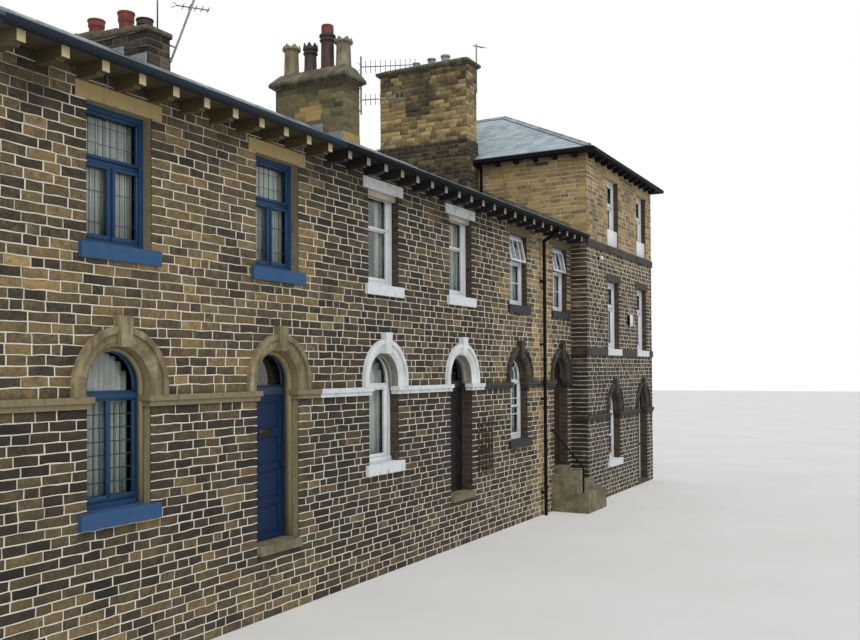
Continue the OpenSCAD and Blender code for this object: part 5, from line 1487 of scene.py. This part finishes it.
def glass_finish(name):
    """Clear drawn glass, faintly green, with slight ripples."""
    tree, shader, place = blank(name)
    fill(tree, shader, {"Transmission Weight": 1.0, "IOR": 1.5})
    cloud = patches(tree, place, 0.5, 2)
    tint = add(tree, "ValToRGB", {0: cloud}, stops=[(0.3, "#dfe8e6"), (0.7, "#eef4f3")])
    dress(tree, shader, tint, 0.02, patches(tree, place, 0.25, 1), 0.004, 0.3)


def metal_finish(name, stops, rough, metallic=1.0):
    """Metal with oxide in patches, duller where it is oxidised."""
    tree, shader, place = blank(name)
    oxide = patches(tree, place, 0.08, 5)
    colour = add(tree, "ValToRGB", {0: oxide}, stops=stops)
    shader.inputs["Metallic"].default_value = metallic
    dress(tree, shader, colour, total(tree, rough, (oxide, 0.3)), patches(tree, place, 0.03), 0.001)


def board_finish(name, stops):
    """Boards 140 mm wide laid side by side. The grain is drawn 20 mm wide, coarser than real, to show."""
    tree, shader, place = blank(name)
    across = total(tree, 0.0, (add(tree, "SeparateXYZ", {0: place}, 1), 1 / 0.14))
    board = add(tree, "Math", {0: across}, operation="FLOOR")
    grain = patches(tree, add(tree, "Mapping", {"Vector": place, "Scale": (0.08, 1.0, 1.0)}), 0.02, 4)
    own = add(tree, "TexWhiteNoise", {"W": board}, noise_dimensions="1D")
    colour = add(tree, "ValToRGB", {0: total(tree, 0.0, (grain, 0.6), (own, 0.4))}, stops=stops)
    dress(tree, shader, colour, 0.6, grain, 0.001)


def pointing_finish(name, pale, dark, stone="#5d5142"):
    """Raised lime pointing: pale, darker under soot, the colour of the stone where it has worn away.

    Its sand is drawn 8 mm across, coarser than real, so that it shows.
    """
    tree, shader, place = blank(name)
    soot = add(tree, "Attribute", out="Fac", attribute_name="soot")
    lost = add(tree, "Attribute", out="Fac", attribute_name="tone")
    veil = total(tree, -0.2, (patches(tree, place, 0.3, 5), 1.1))
    share = add(tree, "Math", {0: soot, 1: veil}, operation="MULTIPLY")
    colour = add(tree, "Mix", {0: share, 6: linear(pale), 7: linear(dark)}, 2, data_type="RGBA")
    colour, _ = stained(tree, place, colour, 0.05, 0.5, 0.75, 0.45, dark, 4)
    bare = total(tree, -1.55, (patches(tree, place, 0.8, 4), 2.6), (lost, 1.0))
    bare = add(tree, "Clamp", {"Value": bare, "Min": 0.0, "Max": 0.9})
    grimy = total(tree, 0.0, (soot, 0.6))
    worn = add(tree, "Mix", {0: grimy, 6: linear(stone), 7: linear("#2a241d")}, 2, data_type="RGBA")
    colour = add(tree, "Mix", {0: bare, 6: colour, 7: worn}, 2, data_type="RGBA")
    dress(tree, shader, colour, 0.9, patches(tree, place, 0.008, 2), 0.002)


def within(tree, value, low, high):
    """One where value lies between low and high, else nought."""
    above = add(tree, "Math", {0: value, 1: float(low)}, operation="GREATER_THAN")
    below = add(tree, "Math", {0: value, 1: float(high)}, operation="LESS_THAN")
    return add(tree, "Math", {0: above, 1: below}, operation="MULTIPLY")


def bracket_paint(name, side, face):
    """Painted brackets: sides and undersides darkened as painted shade under the eaves, end faces in their
    own paint.
    """
    tree, shader, place = blank(name)
    middle = total(tree, -float(OFFSET[1] + DEPTH / 2), (add(tree, "SeparateXYZ", {0: place}, 1), 1.0))
    reach = add(tree, "Math", {0: middle}, operation="ABSOLUTE")
    unshaded_ends = add(tree, "Math", {0: reach, 1: DEPTH / 2 + 0.3795}, operation="GREATER_THAN")
    # Painted shade: sides and undersides take the dark colour, end faces keep the paint's pale colour
    colour = add(tree, "Mix", {0: unshaded_ends, 6: linear(side), 7: linear(face)}, 2, data_type="RGBA")
    colour, _ = stained(tree, place, colour, 0.04, 0.5, 0.72, 0.4, "#4b4434")
    dress(tree, shader, colour, 0.6, patches(tree, place, 0.02), 0.001)


def pavilion_dressing(name):
    """The pavilion's bands, sills and lintels: sooty stone, white sills on two storeys, tan lintels on the
    top one."""
    tree, shader, place = blank(name)
    run, _, rise = add(tree, "SeparateXYZ", {0: place}).node.outputs
    dark = [(0.3, "#23201c"), (0.5, "#322e28"), (0.75, "#4d463a")]
    sooty = add(tree, "ValToRGB", {0: patches(tree, place, 0.25, 5)}, stops=dark)
    near = [within(tree, run, OFFSET[0] + x - 0.575, OFFSET[0] + x + 0.575) for x in PAV_AXES]
    level = [within(tree, rise, z - 0.168, z + 0.003) for z in PAV_SILLS[:2]]
    both = [total(tree, first, (second, 1.0)) for first, second in (near, level)]
    white = add(tree, "Math", dict(enumerate(both)), operation="MULTIPLY")
    painted, stains = stained(tree, place, linear("#cfd2d2"), 0.08, 0.5, 0.8, 0.3, "#7e7a6e", 4)
    colour = add(tree, "Mix", {0: white, 6: sooty, 7: painted}, 2, data_type="RGBA")
    top = add(tree, "Math", {0: rise, 1: PAV_HEADS[2] - 0.17}, operation="GREATER_THAN")
    tan = add(tree, "ValToRGB", {0: stains}, stops=[(0.2, "#a08c60"), (0.8, "#7f704f")])
    colour = add(tree, "Mix", {0: top, 6: colour, 7: tan}, 2, data_type="RGBA")
    dress(tree, shader, colour, 0.85, patches(tree, place, 0.02), 0.002)


def make_finishes():
    """Every finish of the row, each with what it gives the eye."""
    c = bpy.context.scene.row_colours
    # Gritstone squared with a hammer: rough pillowed faces, each stone its own tone from brown to ochre
    stone = [(0.05, "#2e281d"), (0.25, "#504534"), (0.48, "#706248"), (0.70, "#937f57"), (0.95, "#b79b64")]
    squared_stone("hammer_dressed_sandstone", stone)
    # The same stone on the low stacks, grey-green under a century of smoke
    stone = [(0.1, "#36342b"), (0.35, "#585444"), (0.6, "#78725d"), (0.9, "#9a8e70")]
    squared_stone("soot_black_sandstone", stone)
    # Cleaner stone on the tall stack: warm ochre faces with dark stains
    stone = [(0.05, "#393320"), (0.3, "#736544"), (0.55, "#a5915b"), (0.85, "#c9b27c")]
    squared_stone("ochre_sandstone", stone, "#1f1b13", spread=0.75)
    # Lime and sand, thrown on and trowelled: soft patches, the stone showing through
    stone = [(0.0, "#5d583f"), (0.3, "#777050"), (0.55, "#918459"), (0.85, "#b29356")]
    squared_stone("patched_lime_render", stone, "#25241b", spread=0.6)
    # Lime putty struck as a raised ribbon: a pale net over dark stone, weathered in streaks
    pointing_finish("raised_lime_pointing", "#ded6c4", "#b4ac9b")
    # Smoked pointing of the stacks, little paler than their stones
    pointing_finish("stack_pointing", "#988c6e", "#4c4535", "#62543a")
    # Thin grey-brown joints between sawn arch stones
    plain_stone("arch_mortar", [(0.35, "#5b523f"), (0.65, "#8b7f66")])
    # Cement bed with lichen: blotched olive grey, streaked by rain
    plain_stone("weathered_mortar", [(0.3, "#3f3d2f"), (0.5, "#605c48"), (0.7, "#86806a")], streaks=0.5)
    # Masonry inside the reveals: flush courses, darker than the face as painted shade of the recess
    walling("coursed_walling")
    # Sawn sandstone left bare: even buff with rain marks
    plain_stone("arch_stone_bare", [(0.3, "#6f6549"), (0.5, "#8b7f5f"), (0.7, "#a79b7b")], streaks=0.55)
    # Masonry paint on stone: matt white, faintly streaked
    plain_stone("arch_stone_white", [(0.3, "#c9cdce"), (0.55, "#d9dddd"), (0.7, "#e3e6e7")], streaks=0.12)
    # Sandstone blackened by soot: near black with brown rubbed edges
    plain_stone("arch_stone_dark", [(0.3, "#211f1b"), (0.5, "#33302a"), (0.75, "#57513f")], streaks=0.4)
    # The impost band: buff, white and black by house
    house_stone("band_stone", ("#82775a", "#d4d9db", "#2b2823"))
    # Lintels: warm bare stone, white paint and grimy stone by house
    house_stone("lintel_stone", ("#ae9868", "#d6dadb", "#5f543f"), streaks=0.2)
    # Painted sills: clear blue, white and black by house, chipped to grey
    house_stone("sill_stone", ("#234d78", "#d6dadc", "#1d1e20"), streaks=0.15, wear="#5f6668")
    # Sooty bands and arch stones of the pavilion
    plain_stone("dark_band_stone", [(0.3, "#211f1b"), (0.5, "#322f29"), (0.75, "#544d3e")], streaks=0.4)
    # Dressed stone inside the openings, shaded and damp
    house_stone("lining_stone", ("#8d8363", "#8f8f86", "#3b362e"), streaks=0.3, wear="#5f5740")
    # Bands, sills and lintels of the pavilion: black, white and tan by height
    pavilion_dressing("pavilion_dressing")
    # Trodden sandstone: greenish grey, paler where feet rub it
    plain_stone("worn_step_stone", [(0.3, "#55503f"), (0.5, "#726b54"), (0.7, "#8e8568")], streaks=0.3)
    # Riven slate, wet from rain: mixed blue greys with a soft sheen
    slate_finish(
        "wet_blue_slate", [(0.1, "#49525b"), (0.45, "#616c76"), (0.75, "#7b868f"), (1.0, "#939da3")], 0.28
    )
    # The pavilion's slates, which catch the pale sky
    slate_finish("pale_wet_slate", [(0.1, "#8b9aa3"), (0.5, "#a0afb8"), (1.0, "#b4c0c6")], 0.32)
    # The solid roof under the slates, darker than them as painted shade in the gaps between them
    slate_finish("roof_boarding", [(0.1, "#3c4349"), (0.5, "#4d555c"), (1.0, "#666f76")], 0.4)
    # Sawn ridge stone: a pale dry line on the dark roof
    slate_finish("grey_ridge_stone", [(0.1, "#6d747a"), (0.5, "#868d91"), (1.0, "#a2a7a8")], 0.4)
    # Milled lead sheet: dull blue grey, half oxide
    metal_finish("milled_lead", [(0.3, "#696f73"), (0.7, "#888e92")], 0.45, 0.4)
    # Cast lead cames: dark thin lines in the glass
    metal_finish("window_lead", [(0.3, "#3b4245"), (0.7, "#555c5f")], 0.5, 0.6)
    # Woven cloth stiffened for the slats of a blind: matt off-white
    plain_stone("woven_blind", [(0.3, "#c3c6be"), (0.6, "#dadcd5")], rough=0.9, deep=0.0005)
    # Brick clay fired red: matt, with rain streaks
    plain_stone(
        "red_fired_clay", [(0.3, "#5c2a20"), (0.5, "#7c392a"), (0.7, "#93503c")], streaks=0.3, rough=0.7
    )
    # Fireclay fired buff: matt and blotched, much streaked
    plain_stone(
        "buff_fireclay", [(0.3, "#6f6750"), (0.5, "#877c61"), (0.72, "#a09478")], streaks=0.6, rough=0.7
    )
    # Clay browned by smoke: nearly black, no gleam
    plain_stone(
        "smoked_clay", [(0.3, "#29201d"), (0.5, "#3a2a25"), (0.72, "#523630")], streaks=0.5, rough=0.7
    )
    # Grey fireclay: pale and even
    plain_stone("grey_fireclay", [(0.3, "#70757a"), (0.6, "#9aa0a4")], streaks=0.3, rough=0.7)
    # Galvanised steel and aluminium tube: weathered grey with a dull gleam
    metal_finish("galvanised_tube", [(0.3, "#5a5e61"), (0.7, "#84888b")], 0.4)
    # Brass long unpolished: brown with a trace of metal
    metal_finish("tarnished_brass", [(0.3, "#2f2a20"), (0.7, "#554a33")], 0.45)
    # Drawn window glass: clear, a little wavy
    glass_finish("window_glass")
    # Blue gloss paint, brushed on wood and aged: a clear blue with a soft sheen
    gloss_paint("blue_gloss_paint", c.blue, "#3d5878", rough=0.5, grime=0.25, shine=0.3)
    # White gloss paint, brushed on wood: bright, dirty in faint patches
    gloss_paint("white_gloss_paint", c.white, "#8f8d86", rough=0.4, grime=0.25)
    # Board with a pale wood stain: warm grey, weathered in patches
    gloss_paint("stained_board", "#a79d89", "#6f675a")
    # Navy, black and brown gloss paint of the doors: deep tones with little gleam
    gloss_paint("blue_door_paint", c.door_blue, "#162c49", rough=0.5, shine=0.2)
    gloss_paint("black_door_paint", "#131417", "#303030", rough=0.5, shine=0.25)
    gloss_paint("brown_door_paint", c.brown, "#4a3b30", rough=0.5, shine=0.25)
    # Painted cast iron of gutters and pipes: almost without gleam
    gloss_paint("black_iron_paint", c.black, "#252422", rough=0.65, shine=0.08)
    gloss_paint("blue_iron_paint", c.gutter_blue, "#2b3442", rough=0.6, shine=0.2)
    # Brackets: sides and undersides darkened as painted shade under the eaves, end faces in their pale paint
    bracket_paint("cream_gloss_paint", "#4f452c", "#d3c497")
    bracket_paint("dark_eaves_paint", "#1f1e1c", "#a2a29c")
    # Soffits and fascias under the eaves: the first house's cream paint darkened to a brown cream as painted
    # shade, near black on the others
    house_stone("eaves_paint", ("#4b422c", "#141312", "#141312"), 0.7, 0.3, "#24211a")
    gloss_paint("pavilion_eaves_paint", "#1a1918", "#2e2c29", rough=0.6, shine=0.15)
    # Door frames: navy, black and brown by house
    house_stone("door_frame_paint", ("#1b2c46", "#1a1b1c", "#2f241c"), 0.5, 0.2, "#24282c")
    # Larch battens stained red brown, dry and dull
    gloss_paint("stained_larch", "#3f2a1e", "#1e1610", 0.6, shine=0.2)
    # Pine floor boards: honey brown with drawn-out grain
    board_finish("floor_boards", [(0.2, "#6b5334"), (0.5, "#8c7048"), (0.8, "#a98b5d")])


# The frame's nodes by their finish
NODE_FINISHES = {
    "coursed_walling": (
        "row_plinth", "row_front_wall_lower", "row_front_wall_upper", "row_rear_wall", "end_wall",
        "party_walls", "pavilion_front_wall", "pavilion_side_walls", "pavilion_rear_wall",
    ),
    "floor_boards": ("ground_floors", "upper_floors", "pavilion_floors"),
    "roof_boarding": ("roof_slope_front", "roof_slope_rear", "pavilion_roof"),
    "eaves_paint": ("eaves_boards",),
    "cream_gloss_paint": ("eaves_brackets_a",),
    "dark_eaves_paint": ("eaves_brackets_bc",),
    "pavilion_eaves_paint": ("pavilion_eaves",),
    "blue_iron_paint": ("gutter_a",),
    "black_iron_paint": ("gutter_bc", "handrail", "pavilion_gutter", "downpipes"),
    "band_stone": ("string_course",),
    "arch_stone_bare": ("arch_stones_a",),
    "arch_stone_white": ("arch_stones_b",),
    "arch_stone_dark": ("arch_stones_c",),
    "dark_band_stone": ("pavilion_arch_stones",),
    "lintel_stone": ("lintels",),
    "sill_stone": ("sills",),
    "pavilion_dressing": ("pavilion_string_courses",),
    "worn_step_stone": ("steps",),
    "weathered_mortar": ("chimney_stack_end", "chimney_stack_ab", "chimney_stack_bc", "chimney_stack_cd"),
    "red_fired_clay": ("chimney_pots",),
    "window_glass": ("window_glass",),
    "blue_gloss_paint": ("window_frames_a",),
    "white_gloss_paint": ("window_frames_bc", "pavilion_window_frames"),
    "blue_door_paint": ("door_a",),
    "black_door_paint": ("door_b", "pavilion_door"),
    "brown_door_paint": ("door_c",),
    "door_frame_paint": ("door_frames",),
    "galvanised_tube": ("aerials",),
}


def finish_nodes():
    """Gives every CAD node its finish."""
    finish_of = {name: finish for finish, names in NODE_FINISHES.items() for name in names}
    for name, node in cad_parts.items():
        material = FINISHES[finish_of[name]]
        if not node.material_slots:
            node.data.materials.append(material)
        for slot in node.material_slots:
            slot.material = material


# Stage

# The camera solved from the photograph: width, focal length and upward shift in pixels, the place of its eye
# in the row's directions, and its angles in degrees
PICTURE_W, FOCAL_PX, SHIFT_PX = 860, 923.8, 33.7
EYE = (-5.32, -7.652, 3.212)
YAW, PITCH, ROLL = 61.34, 1.0, 0.3


def set_stage():
    """Floor, camera at the photograph's place, two soft lamps and a plain pale sky."""
    scene = bpy.context.scene
    scene.view_settings.view_transform = "Standard"
    mesh = bpy.data.meshes.new("floor")
    far = 120.0
    corners = [(x * far, y * far, -0.002) for x, y in ((-1, -1), (1, -1), (1, 1), (-1, 1))]
    mesh.from_pydata(corners, [], [(0, 1, 2, 3)])
    floor = bpy.data.objects.new("floor", mesh)
    scene.collection.objects.link(floor)
    tree, shader, place = blank("pale_floor")
    tint = add(tree, "ValToRGB", {0: patches(tree, place, 3.0)}, stops=[(0.3, "#dcdad6"), (0.7, "#e3e1de")])
    fill(tree, shader, {"Base Color": tint, "Roughness": 0.9})
    mesh.materials.append(FINISHES["pale_floor"])

    data = bpy.data.cameras.new("camera")
    data.sensor_width = 36.0
    data.lens = FOCAL_PX / PICTURE_W * data.sensor_width
    data.shift_y = SHIFT_PX / PICTURE_W
    data.clip_end = 400
    camera = bpy.data.objects.new("camera", data)
    scene.collection.objects.link(camera)
    yaw, pitch, roll = (math.radians(a) for a in (YAW, PITCH, ROLL))
    look = Vector((math.sin(yaw) * math.cos(pitch), math.cos(yaw) * math.cos(pitch), math.sin(pitch)))
    turn = look.to_track_quat("-Z", "Y").to_matrix() @ Matrix.Rotation(-roll, 3, "Z")
    camera.matrix_world = Matrix.Translation((OFFSET + EYE).tolist()) @ turn.to_4x4()
    scene.camera = camera

    lamps = (("sky_lamp", (0.35, 0.55, -0.76), 1.5, 60.0), ("side_lamp", (0.75, 0.55, -0.35), 0.55, 70.0))
    for name, aim, power, spread in lamps:
        lamp = bpy.data.lights.new(name, "SUN")
        lamp.energy, lamp.angle = power, math.radians(spread)
        obj = bpy.data.objects.new(name, lamp)
        obj.rotation_mode = "QUATERNION"
        obj.rotation_quaternion = Vector(aim).to_track_quat("-Z", "Y")
        scene.collection.objects.link(obj)

    world = bpy.data.worlds.new("pale_sky")
    scene.world = world
    world.use_nodes = True
    tree = world.node_tree
    tree.nodes.clear()
    rays = add(tree, "LightPath").node.outputs
    seen = rays["Is Camera Ray"]
    for ray in ("Is Glossy Ray", "Is Transmission Ray"):
        seen = add(tree, "Math", {0: seen, 1: rays[ray]}, operation="MAXIMUM")
    lit = add(tree, "Background", {"Color": (0.93, 0.96, 1.0, 1), "Strength": 0.55})
    shown = add(tree, "Background", {"Color": (1, 1, 1, 1), "Strength": 1.0})
    mix = add(tree, "MixShader", {0: seen, 1: lit, 2: shown})
    add(tree, "OutputWorld", {"Surface": mix})


# Add-on


class ROW_OT_finishes(bpy.types.Operator):
    """Makes the finishes and gives them to the frame's nodes"""

    bl_idname = "row.finishes"
    bl_label = "Finishes"

    def execute(self, context):
        make_finishes()
        finish_nodes()
        return {"FINISHED"}


class ROW_OT_row_stones(bpy.types.Operator):
    """Faces the row's front, rear and end walls with coursed stone"""

    bl_idname = "row.row_stones"
    bl_label = "Row stones"

    def execute(self, context):
        row_front_stones()
        row_rear_stones()
        row_end_stones()
        return {"FINISHED"}


class ROW_OT_pavilion_stones(bpy.types.Operator):
    """Faces the pavilion with coursed stone"""

    bl_idname = "row.pavilion_stones"
    bl_label = "Pavilion stones"

    def execute(self, context):
        pavilion_stones()
        return {"FINISHED"}


class ROW_OT_stack_stones(bpy.types.Operator):
    """Faces the chimney stacks and finishes their heads"""

    bl_idname = "row.stack_stones"
    bl_label = "Chimney stacks"

    def execute(self, context):
        stack_stones()
        stack_heads()
        return {"FINISHED"}


class ROW_OT_arch_joints(bpy.types.Operator):
    """Joints between the arch stones"""

    bl_idname = "row.arch_joints"
    bl_label = "Arch joints"

    def execute(self, context):
        arch_joints()
        return {"FINISHED"}


class ROW_OT_roofs(bpy.types.Operator):
    """Slates, ridge and hip tiles and lead"""

    bl_idname = "row.roofs"
    bl_label = "Roofs"

    def execute(self, context):
        row_slates()
        pavilion_slates()
        lead_flashings()
        return {"FINISHED"}


class ROW_OT_pots(bpy.types.Operator):
    """Chimney pots and aerials"""

    bl_idname = "row.pots"
    bl_label = "Pots and aerials"

    def execute(self, context):
        chimney_pots()
        aerial_arrays()
        return {"FINISHED"}


class ROW_OT_joinery(bpy.types.Operator):
    """Sashes, glazing bars, door mouldings and fanlights"""

    bl_idname = "row.joinery"
    bl_label = "Joinery"

    def execute(self, context):
        window_sashes()
        door_fittings()
        return {"FINISHED"}


class ROW_OT_windows(bpy.types.Operator):
    """Blinds and leaded lights in the windows and dressed stone in the reveals"""

    bl_idname = "row.windows"
    bl_label = "Blinds and reveals"

    def execute(self, context):
        window_blinds()
        reveal_linings()
        return {"FINISHED"}


class ROW_OT_fittings(bpy.types.Operator):
    """Pipe sockets, trellis, bell box and lamp"""

    bl_idname = "row.fittings"
    bl_label = "Wall fittings"

    def execute(self, context):
        wall_fittings()
        return {"FINISHED"}


class ROW_OT_stage(bpy.types.Operator):
    """Floor, camera, lamps and sky"""

    bl_idname = "row.stage"
    bl_label = "Stage"

    def execute(self, context):
        set_stage()
        return {"FINISHED"}


STEPS = (
    ROW_OT_finishes, ROW_OT_row_stones, ROW_OT_pavilion_stones, ROW_OT_stack_stones, ROW_OT_arch_joints,
    ROW_OT_roofs, ROW_OT_pots, ROW_OT_joinery, ROW_OT_windows, ROW_OT_fittings, ROW_OT_stage,
)


class ROW_PT_panel(bpy.types.Panel):
    """Lists the row's sizes, colours and steps"""

    bl_idname = "ROW_PT_panel"
    bl_label = "House row"
    bl_space_type = "VIEW_3D"
    bl_region_type = "UI"
    bl_category = "House row"

    def draw(self, context):
        for group in (context.scene.row_sizes, context.scene.row_colours):
            for key in group.bl_rna.properties.keys():
                if key not in ("rna_type", "name"):
                    self.layout.prop(group, key)
        for step in STEPS:
            self.layout.operator(step.bl_idname)


CLASSES = (RowSizes, RowColours, *STEPS, ROW_PT_panel)


def register():
    """Registers the classes and gives the scene its sizes and colours."""
    for cls in CLASSES:
        bpy.utils.register_class(cls)
    bpy.types.Scene.row_sizes = bpy.props.PointerProperty(type=RowSizes)
    bpy.types.Scene.row_colours = bpy.props.PointerProperty(type=RowColours)


def unregister():
    """Takes away what register gave."""
    del bpy.types.Scene.row_sizes, bpy.types.Scene.row_colours
    for cls in reversed(CLASSES):
        bpy.utils.unregister_class(cls)


def main():
    """Makes every piece and the stage in order."""
    register()
    for step in STEPS:
        group, name = step.bl_idname.split(".")
        getattr(getattr(bpy.ops, group), name)()


if __name__ == "__main__":
    main()
